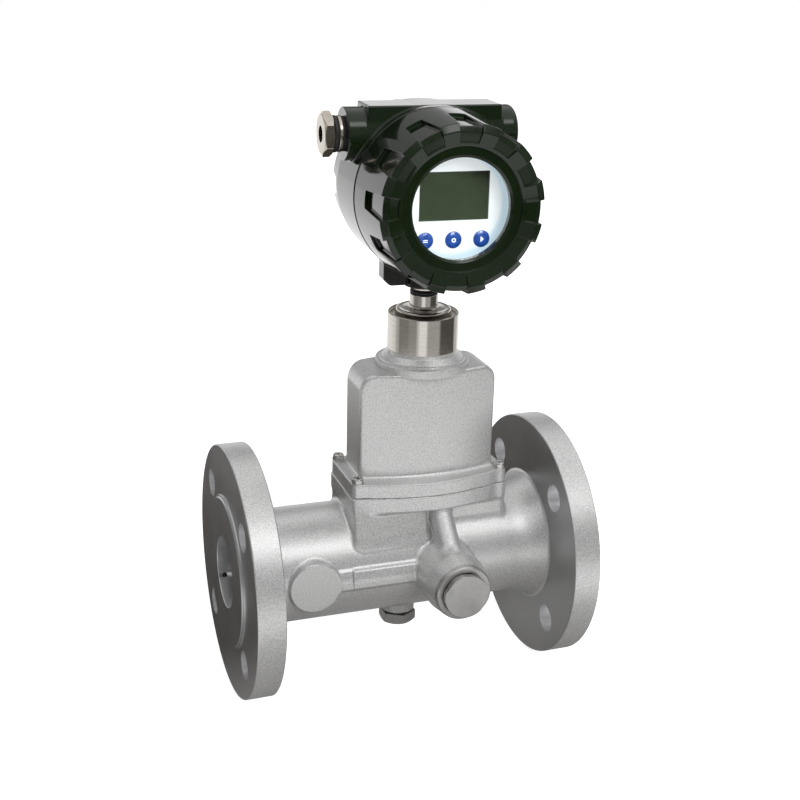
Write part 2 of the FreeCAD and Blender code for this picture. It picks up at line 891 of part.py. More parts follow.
def make_sleeve_lock_screw():
    """Round-ended grub screw that keeps the sleeve from turning."""
    way = lock_screw_way()
    start = vector(box_x, 0, lock_screw_z) + way * (sleeve_spigot_diameter / 2 + press_clearance)
    end = vector(box_x, 0, lock_screw_z) + way * (ring_diameter / 2 + lock_screw_proud)
    screw = rod(lock_screw_diameter - 2 * thread_clearance, start, end)
    return screw.cut(hexagon(2.5, end - way * 2.0, way * 3.0)).Solids[0]


def make_hood_seal():
    return seal_ring(seal_height, press_clearance)


def make_hood_screws():
    """Four socket screws as one group."""
    screws = []
    bottom = hood_flange_top + washer_thickness
    head_top = bottom + screw_head_height
    for x, y in hood_screw_places():
        head = turned_z([(bottom, 0), (bottom, screw_head_diameter / 2, 0.3),
                         (head_top, screw_head_diameter / 2, 1.0), (head_top, 0)], x, y)
        shank = rod(screw_thread_diameter - 2 * thread_clearance,
                    vector(x, y, bottom - screw_length), vector(x, y, bottom))
        socket = hexagon(screw_socket_flats, vector(x, y, head_top - screw_socket_depth),
                         z_dir * 3, 0.0, x_dir)
        screws.append(head.fuse(shank).cut(socket).removeSplitter().Solids[0])
    return Part.makeCompound(screws)


def make_hood_washers():
    washers = []
    for x, y in hood_screw_places():
        washers.append(tube(washer_diameter, screw_thread_diameter + 0.3,
                            vector(x, y, hood_flange_top),
                            vector(x, y, hood_flange_top + washer_thickness)))
    return Part.makeCompound(washers)


def preamp_places():
    along = preamp_length / 2 - preamp_post_inset
    across = preamp_width / 2 - preamp_post_inset
    return [(box_x + sx * along, sy * across) for sx in (-1, 1) for sy in (-1, 1)]


def make_preamp_posts():
    posts = []
    for x, y in preamp_places():
        posts.append(rod(preamp_post_diameter, vector(x, y, pocket_floor),
                         vector(x, y, pocket_floor + preamp_post_height)))
    return Part.makeCompound(posts)


def make_preamp_board():
    """Small amplifier board with its charge amplifier can and connector."""
    low = pocket_floor + preamp_post_height
    half_x = preamp_length / 2
    half_y = preamp_width / 2
    top = low + board_thickness
    board = block((box_x - half_x, -half_y, low), (box_x + half_x, half_y, top))
    can = block((box_x - 12, -8, top), (box_x + 8, 8, top + 7))
    plug = block((box_x + 14, -6, top), (box_x + 22, 6, top + 9))
    return board.fuse([can, plug]).removeSplitter()


# Neck

def make_neck_sleeve():
    """Stainless sleeve pressed into the hood, in which the stem turns."""
    bore = stem_shaft_diameter / 2 + running_clearance
    spigot = sleeve_spigot_diameter / 2 - thread_clearance
    bottom = ring_top - sleeve_spigot_length
    ledge = stem_flange_bottom - turning_gap
    recess = stem_flange_diameter / 2 + 0.3
    well = sleeve_radius - sleeve_rim
    clip_room = bore + stem_clip_reach + 0.5
    return turned_z([
        (bottom, clip_room), (bottom, spigot), (ring_top, spigot),
        (ring_top, sleeve_radius, 0.5), (sleeve_top, sleeve_radius, sleeve_edge * 0.8),
        (sleeve_top, well), (sleeve_floor, well), (sleeve_floor, recess),
        (ledge, recess), (ledge, bore), (sleeve_bore_bottom, bore), (sleeve_bore_bottom, clip_room),
    ], box_x)


def make_neck_stem():
    """Hollow turned stem: it carries the head and turns in the sleeve."""
    shaft = stem_shaft_diameter / 2
    flange = stem_flange_diameter / 2
    neck = stem_neck_diameter / 2
    groove = stem_groove_diameter / 2
    clip_top = sleeve_bore_bottom - turning_gap
    clip_low = clip_top - stem_clip_width - press_clearance
    tail = clip_low - stem_clip_inset
    seal_floor = shaft - stem_seal_depth
    cone_bottom = stem_neck_top + stem_groove_length
    points = [(tail, 0), (tail, shaft, 0.5), (clip_low, shaft), (clip_low, shaft - stem_clip_depth),
              (clip_top, shaft - stem_clip_depth), (clip_top, shaft)]
    for low in stem_seal_lows():
        points += [(low, shaft), (low, seal_floor), (low + stem_seal_width, seal_floor),
                   (low + stem_seal_width, shaft)]
    points += [(stem_flange_bottom, shaft), (stem_flange_bottom, flange, 0.4),
               (stem_flange_top, flange, 1.4), (stem_flange_top, neck, 0.8),
               (stem_neck_top, neck, 0.5), (stem_neck_top, groove), (cone_bottom, groove),
               (cone_bottom, stem_cone_diameter / 2),
               (cone_bottom + stem_cone_length, stem_thread_diameter / 2),
               (stem_thread_top, stem_thread_diameter / 2, 0.8), (stem_thread_top, 0)]
    bore = rod(stem_bore_diameter, vector(box_x, 0, tail - 1), vector(box_x, 0, stem_thread_top + 1))
    return solid_of(turned_z(points, box_x).cut(bore).Solids[0])


def stem_seal_lows():
    """Bottoms of the two ring grooves in the stem's shaft."""
    first = sleeve_bore_bottom + stem_seal_offset
    second = stem_flange_bottom - turning_gap - stem_seal_offset - stem_seal_width
    return [first, second]


def make_stem_seals():
    rings = []
    outer = stem_shaft_diameter
    inner = outer - 2 * stem_seal_depth + 2 * press_clearance
    for low in stem_seal_lows():
        rings.append(tube(outer, inner, vector(box_x, 0, low + press_clearance),
                          vector(box_x, 0, low + stem_seal_width - press_clearance)))
    return Part.makeCompound(rings)


def make_stem_clip():
    """Spring ring under the sleeve that keeps the stem from lifting out."""
    top = sleeve_bore_bottom - turning_gap - press_clearance
    inner = stem_shaft_diameter - 2 * stem_clip_depth + 2 * press_clearance
    outer = stem_shaft_diameter + 2 * stem_clip_reach
    ring = tube(outer, inner, vector(box_x, 0, top - stem_clip_width), vector(box_x, 0, top))
    gap = block((box_x - 3, 0, top - 2 * stem_clip_width), (box_x + 3, outer, top + 1))
    return ring.cut(gap).Solids[0]


def make_neck_seal():
    """Black ring in the groove under the head."""
    radius = stem_neck_diameter / 2 - 0.1
    inner = stem_groove_diameter / 2 + press_clearance
    low = stem_neck_top + press_clearance
    high = stem_neck_top + stem_groove_length - press_clearance
    return turned_z([(low, inner), (low, radius, 1.0), (high, radius, 1.0), (high, inner)], box_x)


# Head parts are drawn on the neck axis, with the display towards -Y

def head_turned(points):
    """Turned about the barrel's axis from (distance to the front, radius) points."""
    return turned_y(points, 0.0, head_z)


def make_head_housing():
    """Barrel, cable entries, roof block, neck boss and lug in one casting."""
    barrel = head_turned([(-barrel_half_length, 0), (-barrel_half_length, barrel_radius, 0.8),
                          (barrel_half_length, barrel_radius, 0.8), (barrel_half_length, 0)])
    roof = block((-roof_half_length, -roof_half_width, head_z),
                 (roof_half_length, roof_half_width, roof_z))

    def roof_edges(edge):
        middle = edge.CenterOfMass
        on_top = near(edge.BoundBox.ZMin, roof_z)
        return on_top and near(abs(middle.y), roof_half_width)

    roof = rounded(roof, roof_edge, roof_edges)
    arm = turned([(conduit_left, 0), (conduit_left, conduit_boss_diameter / 2, 0.6),
                  (conduit_half_length, conduit_boss_diameter / 2, conduit_end_round),
                  (conduit_half_length, 0)], vector(0, conduit_shift, conduit_z), x_dir, z_dir)
    boss = rod(boss_diameter, vector(0, 0, boss_bottom), vector(0, 0, head_z))
    lug = flat_prism([(lug_left, head_z), (lug_left, lug_bottom + lug_chamfer * 0.9),
                      (lug_left + lug_chamfer, lug_bottom), (lug_right, lug_bottom),
                      (lug_right, head_z)],
                     lambda p: vector(p.x, -lug_half_width, p.y), y_dir * (2 * lug_half_width))
    solid = barrel.fuse([roof, arm, boss, lug])
    wall_back = partition_front - partition_thickness
    front_room = head_turned([(partition_front, 0), (partition_front, chamber_radius),
                              (barrel_half_length + 1, chamber_radius), (barrel_half_length + 1, 0)])
    rear_room = head_turned([(-barrel_half_length - 1, 0), (-barrel_half_length - 1, chamber_radius),
                             (wall_back, chamber_radius), (wall_back, 0)])
    entry_start = vector(conduit_left - 1, conduit_shift, conduit_z)
    entry_end = vector(conduit_left + conduit_entry_depth, conduit_shift, conduit_z)
    wire_hole = rod(wire_hole_diameter, vector(0, -partition_front - 1, head_z - 30),
                    vector(0, -wall_back + 1, head_z - 30))
    cutters = [
        front_room, rear_room, wire_hole,
        rod(conduit_entry_diameter, entry_start, entry_end),
        rod(conduit_passage_diameter, entry_end, vector(-30, conduit_shift, conduit_z)),
        rod(stem_thread_diameter + 2 * thread_clearance, vector(0, 0, boss_bottom - 1),
            vector(0, 0, head_z - chamber_radius + 6)),
    ]
    shape = solid.cut(cutters).removeSplitter()
    return head_place(solid_of(shape.Solids[0]))


def notch_cutters(rim, nose, length, start, inner):
    """Twelve wedge-shaped recesses round a cover, as one group."""
    slope = (rim - nose) / length
    floor_back = rim - slope * start - notch_depth
    floor_front = nose - notch_depth * 0.75
    crest = cover_crest_diameter / 2
    nose_w = cover_start + length
    top_w = nose_w + cover_nose_length
    w0 = cover_start + start
    fall = notch_depth * 0.75
    ring = head_turned([(w0, floor_back), (nose_w - fall * 0.5, floor_front),
                        (top_w - fall, crest - fall * 0.5), (top_w - fall - 1.0, inner),
                        (top_w + 4, inner), (top_w + 4, rim + 4), (w0, rim + 4)])
    wedges = []
    for k in range(notch_count):
        wires = []
        for w, width in ((w0 - 0.001, notch_width_back), (top_w + 5, notch_width_front)):
            half = math.radians(width / 2)
            near_r, far_r = inner - 2, rim + 5
            corners = [(near_r, -half), (far_r, -half), (far_r, half), (near_r, half)]
            points = [vector(r * math.cos(a), -w, r * math.sin(a)) for r, a in corners]
            wires.append(Part.makePolygon(points + points[:1]))
        wedge = Part.makeLoft(wires, True, True)
        wedge.translate(z_dir * head_z)
        wedge.rotate(vector(0, 0, head_z), y_dir, -(360 / notch_count * k + notch_phase))
        wedges.append(ring.common(wedge))
    return wedges


def make_front_cover():
    """Window cover: threaded spigot, notched rim and stepped face."""
    w = cover_start
    rim = cover_rim_diameter / 2
    nose = front_cover_nose_diameter / 2
    nose_w = w + front_cover_length
    crest_w = nose_w + cover_nose_length
    face_w = crest_w - face_outer_drop
    ring_w = face_w - face_step
    lip_w = ring_w - throat_chamfer
    seat_w = lip_w - window_lip
    glass_w = seat_w - window_gasket_thickness - window_thickness
    thread_w = glass_w - window_ring_thickness - 1.0
    cavity = cavity_radius
    body = head_turned([
        (spigot_end, cavity), (spigot_end, spigot_radius, 0.6), (w - cover_seal_width, spigot_radius),
        (w - cover_seal_width, spigot_radius - cover_seal_depth), (w, spigot_radius - cover_seal_depth),
        (w, rim, 0.8), (nose_w, nose, 0.8), (crest_w, cover_crest_diameter / 2, 1.0),
        (face_w, face_outer_diameter / 2), (ring_w, face_outer_diameter / 2),
        (ring_w, throat_outer_diameter / 2), (lip_w, window_opening / 2),
        (seat_w, window_opening / 2), (seat_w, window_diameter / 2), (thread_w, window_diameter / 2),
        (thread_w - 1.0, cavity)])
    cutters = notch_cutters(rim, nose, front_cover_length, notch_start, notch_inner_diameter / 2)
    return head_place(solid_of(body.cut(cutters).removeSplitter().Solids[0]))


def window_seat():
    """Distance of the window's seat from the neck axis."""
    crest_w = cover_start + front_cover_length + cover_nose_length
    return crest_w - face_outer_drop - face_step - throat_chamfer - window_lip


def window_disc(back, front, outer, inner=0.0):
    points = [(back, inner / 2), (back, outer / 2), (front, outer / 2), (front, inner / 2)]
    return head_place(head_turned(points))


def make_window_gasket():
    seat = window_seat()
    return window_disc(seat - window_gasket_thickness, seat,
                       window_diameter - 2 * thread_clearance, window_opening + 1.0)


def make_window_glass():
    front = window_seat() - window_gasket_thickness
    return window_disc(front - window_thickness, front, window_diameter - 2 * thread_clearance)


def make_window_ring():
    front = window_seat() - window_gasket_thickness - window_thickness
    return window_disc(front - window_ring_thickness, front,
                       window_diameter - 2 * thread_clearance, window_ring_bore)


def make_rear_cover():
    """Blind cover of the terminal side, with the same rim."""
    w = cover_start
    rim = rear_cover_rim_diameter / 2
    nose = rear_cover_nose_diameter / 2
    nose_w = w + rear_cover_length
    crest_w = nose_w + cover_nose_length
    cavity = cavity_radius
    body = head_turned([
        (spigot_end, cavity), (spigot_end, spigot_radius, 0.6), (w - cover_seal_width, spigot_radius),
        (w - cover_seal_width, spigot_radius - cover_seal_depth), (w, spigot_radius - cover_seal_depth),
        (w, rim, 0.8), (nose_w, nose, 0.8), (crest_w, cover_crest_diameter / 2, 1.0),
        (crest_w - face_outer_drop, face_outer_diameter / 2),
        (crest_w - face_outer_drop, 0), (crest_w - face_outer_drop - rear_cover_back, 0),
        (crest_w - face_outer_drop - rear_cover_back, cavity - 4), (nose_w - 6, cavity)])
    cutters = notch_cutters(rim, nose, rear_cover_length, rear_notch_start, notch_inner_diameter / 2)
    return head_place(solid_of(body.cut(cutters).removeSplitter().Solids[0]), True)


def cover_seal():
    """Square ring in the groove behind a cover's rim."""
    inner = spigot_radius - cover_seal_depth + running_clearance
    return head_turned([(cover_start - cover_seal_width + press_clearance, inner),
                        (cover_start - cover_seal_width + press_clearance, spigot_radius),
                        (cover_start - press_clearance, spigot_radius),
                        (cover_start - press_clearance, inner)])


def make_front_cover_seal():
    return head_place(cover_seal())


def make_rear_cover_seal():
    return head_place(cover_seal(), True)


# Display and electronics

def button_places():
    """Side offset and height of the three buttons, from left to right."""
    return [(-button_pitch, head_z - button_drop), (0.0, head_z - button_drop),
            (button_pitch, head_z - button_drop)]


def post_places():
    places = []
    for k in range(post_count):
        angle = math.radians(360 / post_count * k + post_turn)
        places.append((post_circle / 2 * math.cos(angle), head_z + post_circle / 2 * math.sin(angle)))
    return places


def lcd_box(back, front, margin):
    low_z = head_z + lcd_centre_z - lcd_height / 2 - margin
    high_z = head_z + lcd_centre_z + lcd_height / 2 + margin
    return block((-lcd_width / 2 - margin, -front, low_z), (lcd_width / 2 + margin, -back, high_z))


def make_display_panel():
    """White panel with a bevelled window and raised rims round the buttons."""
    back = panel_face - panel_thickness
    disc = head_turned([(back, 0), (back, panel_radius), (panel_face, panel_radius, panel_edge),
                        (panel_face, 0)])
    shape = disc
    for x, z in button_places():
        rim = tube(button_diameter + 2 * rim_width, button_diameter,
                   vector(x, -panel_face + 0.1, z), vector(x, -panel_face - rim_height, z))
        shape = shape.fuse(rim)
    cutters = [lcd_box(back - 1, panel_face + 1, 0.0)]
    for x, z in button_places():
        cutters.append(rod(button_diameter + 2 * running_clearance, vector(x, -back + 1, z),
                           vector(x, -panel_face - 2, z)))
    return head_place(solid_of(shape.cut(cutters).removeSplitter().Solids[0]))


def make_lcd_module():
    """Display module: its glass fills the panel's window, its case lies behind."""
    back = panel_face - panel_thickness
    glass = lcd_box(back, panel_face - lcd_recess, -press_clearance)
    case = lcd_box(display_board_face, back, lcd_case_margin)
    return head_place(case.fuse(glass).removeSplitter())


def make_button(side, z):
    """Domed cap, flange behind the panel, and a stem over its switch."""
    back = panel_face - panel_thickness
    face = panel_face + button_rise
    radius = button_diameter / 2
    flange_back = back - button_flange_thickness
    stem_end = display_board_face + switch_height() + button_travel + 0.1
    points = [(stem_end, 0), (stem_end, button_stem_diameter / 2),
              (flange_back, button_stem_diameter / 2), (flange_back, radius + button_flange),
              (back, radius + button_flange), (back, radius),
              (face - button_dome, radius, 0.4), (face, radius * 0.6, 3.0), (face, 0)]
    return head_place(turned_y(points, side, z))


def switch_height():
    return lcd_case_depth - button_flange_thickness - button_travel - 0.6


def make_display_board():
    """Round board behind the panel, with a switch under each button."""
    front = display_board_face
    back = front - board_thickness
    radius = cavity_radius - display_board_gap
    shape = head_turned([(back, 0), (back, radius), (front, radius), (front, 0)])
    half = switch_size / 2
    for x, z in button_places():
        shape = shape.fuse(block((x - half, -front - switch_height(), z - half),
                                 (x + half, -front + 0.5, z + half)))
    return head_place(shape.removeSplitter())


def post_group(back, front):
    posts = []
    for x, z in post_places():
        posts.append(head_place(rod(post_diameter, vector(x, -front, z), vector(x, -back, z))))
    return Part.makeCompound(posts)


def make_panel_posts():
    return post_group(display_board_face, panel_face - panel_thickness)


def make_display_posts():
    return post_group(main_board_face, display_board_face - board_thickness)


def make_board_posts():
    return post_group(partition_front, main_board_face - board_thickness)


def make_main_board():
    """Round main board with its larger parts."""
    front = main_board_face
    back = front - board_thickness
    radius = cavity_radius - main_board_gap
    shape = head_turned([(back, 0), (back, radius), (front, radius), (front, 0)])
    parts = [block((-18, -front - 3, head_z + 4), (-2, -front + 0.5, head_z + 18)),
             block((6, -front - 8, head_z - 2), (18, -front + 0.5, head_z + 10)),
             block((-14, -front - 9, head_z - 26), (14, -front + 0.5, head_z - 17)),
             rod(8, vector(-22, -front + 0.5, head_z - 8), vector(-22, -front - 11, head_z - 8)),
             rod(8, vector(24, -front + 0.5, head_z - 12), vector(24, -front - 11, head_z - 12))]
    return head_place(shape.fuse(parts).removeSplitter())


def terminal_places():
    pitch = terminal_width / terminal_count
    return [pitch * (i - (terminal_count - 1) / 2) for i in range(terminal_count)]


def make_terminal_block():
    """Moulded block on the back of the partition, one wire cell per screw."""
    wall = -(partition_front - partition_thickness)
    low_z = head_z + terminal_z - terminal_height / 2
    high_z = low_z + terminal_height
    half = terminal_width / 2
    shape = block((-half, wall, low_z), (half, wall + terminal_depth, high_z))
    cutters = []
    for x in terminal_places():
        cutters.append(rod(terminal_screw_diameter + 0.8, vector(x, wall + terminal_depth + 1, high_z - 8),
                           vector(x, wall + terminal_depth - terminal_slot_depth, high_z - 8)))
        cutters.append(block((x - 2.2, wall + 3, low_z - 1), (x + 2.2, wall + 7.5, low_z + 8)))
    return head_place(shape.cut(cutters).removeSplitter().Solids[0])


def make_terminal_screws():
    """Slotted clamp screws of the terminal block as one group."""
    screws = []
    wall = -(partition_front - partition_thickness)
    z = head_z + terminal_z + terminal_height / 2 - 8
    floor = wall + terminal_depth - terminal_slot_depth
    for x in terminal_places():
        screw = rod(terminal_screw_diameter, vector(x, floor, z), vector(x, floor + terminal_screw_length, z))
        slot = block((x - 3, floor + terminal_screw_length - 1, z - 0.5),
                     (x + 3, floor + terminal_screw_length + 1, z + 0.5))
        screws.append(head_place(screw.cut(slot).Solids[0]))
    return Part.makeCompound(screws)


# Cable gland, drawn from the left entry outwards along -X

def gland_turned(points):
    """Turned about the entry's axis from (distance out of the boss face, radius) points."""
    return head_place(turned(points, vector(conduit_left, conduit_shift, conduit_z), -x_dir, z_dir))


def gland_places():
    """Distances out of the boss face of each gland piece."""
    shoulder = gland_seal_thickness
    ring = shoulder + gland_shoulder_length
    cap = ring + gland_ring_thickness
    end = cap + gland_hex_length
    return shoulder, ring, cap, end


def make_gland_seal():
    shoulder = gland_places()[0]
    return gland_turned([(0, conduit_entry_diameter / 2), (0, gland_shoulder_diameter / 2 - 0.6, 0.5),
                         (shoulder, gland_shoulder_diameter / 2 - 0.6, 0.5),
                         (shoulder, conduit_entry_diameter / 2)])


def make_gland_body():
    """Nickel-plated body screwed into the entry."""
    shoulder, ring, cap, end = gland_places()
    thread = conduit_entry_diameter / 2 - thread_clearance
    neck = gland_neck_diameter / 2 - thread_clearance
    bore = gland_bore_diameter / 2
    neck_end = end - gland_cap_wall - gland_face_gap
    return gland_turned([(-conduit_entry_depth + 0.5, bore), (-conduit_entry_depth + 0.5, thread, 0.8),
                         (shoulder, thread), (shoulder, gland_shoulder_diameter / 2, 0.4),
                         (ring, gland_shoulder_diameter / 2, 0.4), (ring, neck), (neck_end, neck),
                         (neck_end, bore)])


def make_gland_ring():
    """Black rubber ring between the shoulder and the cap nut."""
    shoulder, ring, cap, end = gland_places()
    outer = gland_shoulder_diameter / 2
    inner = gland_neck_diameter / 2
    return gland_turned([(ring, inner), (ring, outer, 1.2), (cap, outer, 1.2), (cap, inner)])


def make_gland_nut():
    """Hexagon cap nut with the cable hole."""
    shoulder, ring, cap, end = gland_places()
    start = vector(conduit_left - cap, conduit_shift, conduit_z)
    run = -x_dir * gland_hex_length
    nut = turned_hexagon(gland_hex_flats, gland_hex_flats - 1.0, start, run, 0.0, z_dir)
    room = rod(gland_neck_diameter, start + x_dir, start - x_dir * (gland_hex_length - gland_cap_wall))
    hole = rod(gland_cable_diameter, start, start - x_dir * (gland_hex_length + 1))
    return head_place(solid_of(nut.cut([room, hole]).Solids[0]))


def make_gland_insert():
    """Rubber sleeve that grips the cable."""
    end = gland_places()[3] - gland_cap_wall - gland_face_gap
    outer = gland_bore_diameter / 2 - thread_clearance
    inner = gland_cable_diameter / 2
    return gland_turned([(-conduit_entry_depth + 3, inner), (-conduit_entry_depth + 3, outer),
                         (end, outer), (end, inner)])


# Write one file for each named piece

def all_parts():
    parts = {
        "meter_body": make_meter_body(),
        "swirler": make_swirler(),
        "swirler_clip": retaining_ring(swirler_start - clip_width),
        "flow_straightener": make_flow_straightener(),
        "straightener_clip": retaining_ring(straightener_out),
        "vortex_probe": make_vortex_probe(),
        "probe_clamp_ring": make_probe_clamp_ring(),
        "sensor_plug": make_sensor_plug(),
        "sensor_plug_seal": make_sensor_plug_seal(),
        "drain_plug": make_drain_plug(),
        "drain_plug_seal": make_drain_plug_seal(),
        "hood_seal": make_hood_seal(),
        "hood_cover": make_hood_cover(),
        "hood_screws": make_hood_screws(),
        "hood_washers": make_hood_washers(),
        "preamp_posts": make_preamp_posts(),
        "preamp_board": make_preamp_board(),
        "neck_sleeve": make_neck_sleeve(),
        "sleeve_lock_screw": make_sleeve_lock_screw(),
        "neck_stem": make_neck_stem(),
        "stem_seals": make_stem_seals(),
        "stem_clip": make_stem_clip(),
        "neck_seal": make_neck_seal(),
        "head_housing": make_head_housing(),
        "front_cover": make_front_cover(),
        "front_cover_seal": make_front_cover_seal(),
        "window_gasket": make_window_gasket(),
        "window_glass": make_window_glass(),
        "window_ring": make_window_ring(),
        "rear_cover": make_rear_cover(),
        "rear_cover_seal": make_rear_cover_seal(),
        "display_panel": make_display_panel(),
        "lcd_module": make_lcd_module(),
        "display_board": make_display_board(),
        "panel_posts": make_panel_posts(),
        "display_posts": make_display_posts(),
        "main_board": make_main_board(),
        "board_posts": make_board_posts(),
        "terminal_block": make_terminal_block(),
        "terminal_screws": make_terminal_screws(),
        "gland_seal": make_gland_seal(),
        "gland_body": make_gland_body(),
        "gland_ring": make_gland_ring(),
        "gland_nut": make_gland_nut(),
        "gland_insert": make_gland_insert(),
    }
    for name, (side, z) in zip(("left_button", "middle_button", "right_button"), button_places()):
        parts[name] = make_button(side, z)
    return parts


os.makedirs("parts", exist_ok=True)
for name, shape in all_parts().items():
    if not shape.isValid() or shape.Volume <= 0:
        raise ValueError(name + " is not a sound solid")
    print(name, len(shape.Solids), round(shape.Volume, 1))
    shape.exportStep(os.path.join("parts", name + ".step"))
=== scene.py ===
"""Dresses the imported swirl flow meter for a 50 mm line and puts it in a plain studio.

The castings are rounded forms: each is a distance field whose zero surface is meshed, so that bosses, ribs
and walls run into each other with cast fillets. Turned pieces are swept profiles, and what repeats is set
out by geometry node trees. Sizes in the classes are millimetres in the frame of the part.
"""
import json
import logging
import math
from dataclasses import dataclass, field
from enum import Enum
from typing import Callable, ClassVar, Iterable, Sequence

import bpy
import numpy as np
from mathutils import Matrix, Vector


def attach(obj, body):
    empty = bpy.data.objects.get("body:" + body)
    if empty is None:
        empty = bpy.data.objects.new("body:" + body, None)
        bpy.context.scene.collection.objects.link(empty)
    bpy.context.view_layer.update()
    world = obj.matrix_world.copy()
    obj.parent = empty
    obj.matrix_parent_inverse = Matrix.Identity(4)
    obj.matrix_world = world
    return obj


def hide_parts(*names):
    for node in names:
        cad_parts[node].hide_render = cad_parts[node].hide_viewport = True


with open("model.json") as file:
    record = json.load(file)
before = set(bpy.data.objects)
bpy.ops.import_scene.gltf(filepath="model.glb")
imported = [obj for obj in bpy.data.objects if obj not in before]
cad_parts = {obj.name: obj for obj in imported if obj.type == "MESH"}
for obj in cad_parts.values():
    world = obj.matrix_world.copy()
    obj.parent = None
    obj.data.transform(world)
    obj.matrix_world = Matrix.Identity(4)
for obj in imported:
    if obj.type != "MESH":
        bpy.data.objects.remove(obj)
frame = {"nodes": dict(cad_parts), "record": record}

LOG = logging.getLogger("flow_meter")
Array = np.ndarray
Thing = bpy.types.Object
Paint = bpy.types.Material
Socket = bpy.types.NodeSocket
Pair = tuple[float, float]
Triple = tuple[float, float, float]
MM = 0.001
ARC_STEPS = 5
SHARP_DEGREES = 38.0
WELD_DISTANCE = 2e-6
GRID_SLICES = 24
WHITE = (1.0, 1.0, 1.0)

# Places and sizes that several pieces share, in millimetres
NECK_X = 131.4
SENSOR_X = 137.5
DRAIN_X = 119.0
HEAD_Z = 244.0
BUTTON_Z = 223.3
FLANGE_RADIUS = 82.5
BORE_RADIUS = 23.5
BOLT_HOLE_RADIUS = 9.0
BOLT_OFFSET = 62.5 * math.sqrt(0.5)


# Flat outlines and turned surfaces


class Way(Enum):
    """Directions that turned pieces point along."""

    RIGHT = (1.0, 0.0, 0.0)
    LEFT = (-1.0, 0.0, 0.0)
    FRONT = (0.0, -1.0, 0.0)
    BACK = (0.0, 1.0, 0.0)
    UP = (0.0, 0.0, 1.0)
    DOWN = (0.0, 0.0, -1.0)


def rounded_profile(corners: Sequence[tuple], loop: bool = False, steps: int = ARC_STEPS) -> Array:
    """Flat path through corners, each rounded by its third number.

    Args:
        corners: (along, radius) or (along, radius, rounding) in millimetres.
        loop: True if the path closes on itself.
        steps: Pieces of each rounded corner; a plain corner is one point repeated.

    Returns:
        An array of (along, radius) rows, with steps + 1 rows for each corner that is rounded.
    """
    rows: list[Array] = []
    count = len(corners)
    for i, corner in enumerate(corners):
        here = np.array(corner[:2], float)
        rounding = corner[2] if len(corner) > 2 else 0.0
        at_end = not loop and i in (0, count - 1)
        if rounding == 0.0 or at_end:
            rows.append(here[None, :])
            continue
        back = np.array(corners[i - 1][:2], float) - here
        ahead = np.array(corners[(i + 1) % count][:2], float) - here
        back /= np.linalg.norm(back)
        ahead /= np.linalg.norm(ahead)
        half = math.acos(float(np.clip(back @ ahead, -1, 1))) / 2
        reach = rounding / math.tan(half)
        centre = here + (back + ahead) / np.linalg.norm(back + ahead) * rounding / math.sin(half)
        start = here + back * reach - centre
        end = here + ahead * reach - centre
        span = math.acos(float(np.clip(start @ end / rounding**2, -1, 1)))
        shares = np.linspace(0, 1, steps + 1)[:, None]
        arc = (np.sin((1 - shares) * span) * start + np.sin(shares * span) * end) / math.sin(span)
        rows.append(centre + arc)
    return np.concatenate(rows)


@dataclass
class Surface:
    """Points in millimetres and their faces, before they become a mesh."""

    points: Array
    faces: Array
    normals: Array | None = None

    def moved(self, turn_degrees: float = 0.0, shift: Sequence[float] = (0, 0, 0)) -> "Surface":
        """Copy of the surface turned about the upright axis and then shifted.

        Args:
            turn_degrees: Turn about +Z through the origin.
            shift: Shift after the turn, in millimetres.

        Returns:
            The moved copy.
        """
        angle = math.radians(turn_degrees)
        cos, sin = math.cos(angle), math.sin(angle)
        turn = np.array([[cos, -sin, 0], [sin, cos, 0], [0, 0, 1]])
        normals = None if self.normals is None else self.normals @ turn.T
        return Surface(self.points @ turn.T + np.array(shift, float), self.faces, normals)


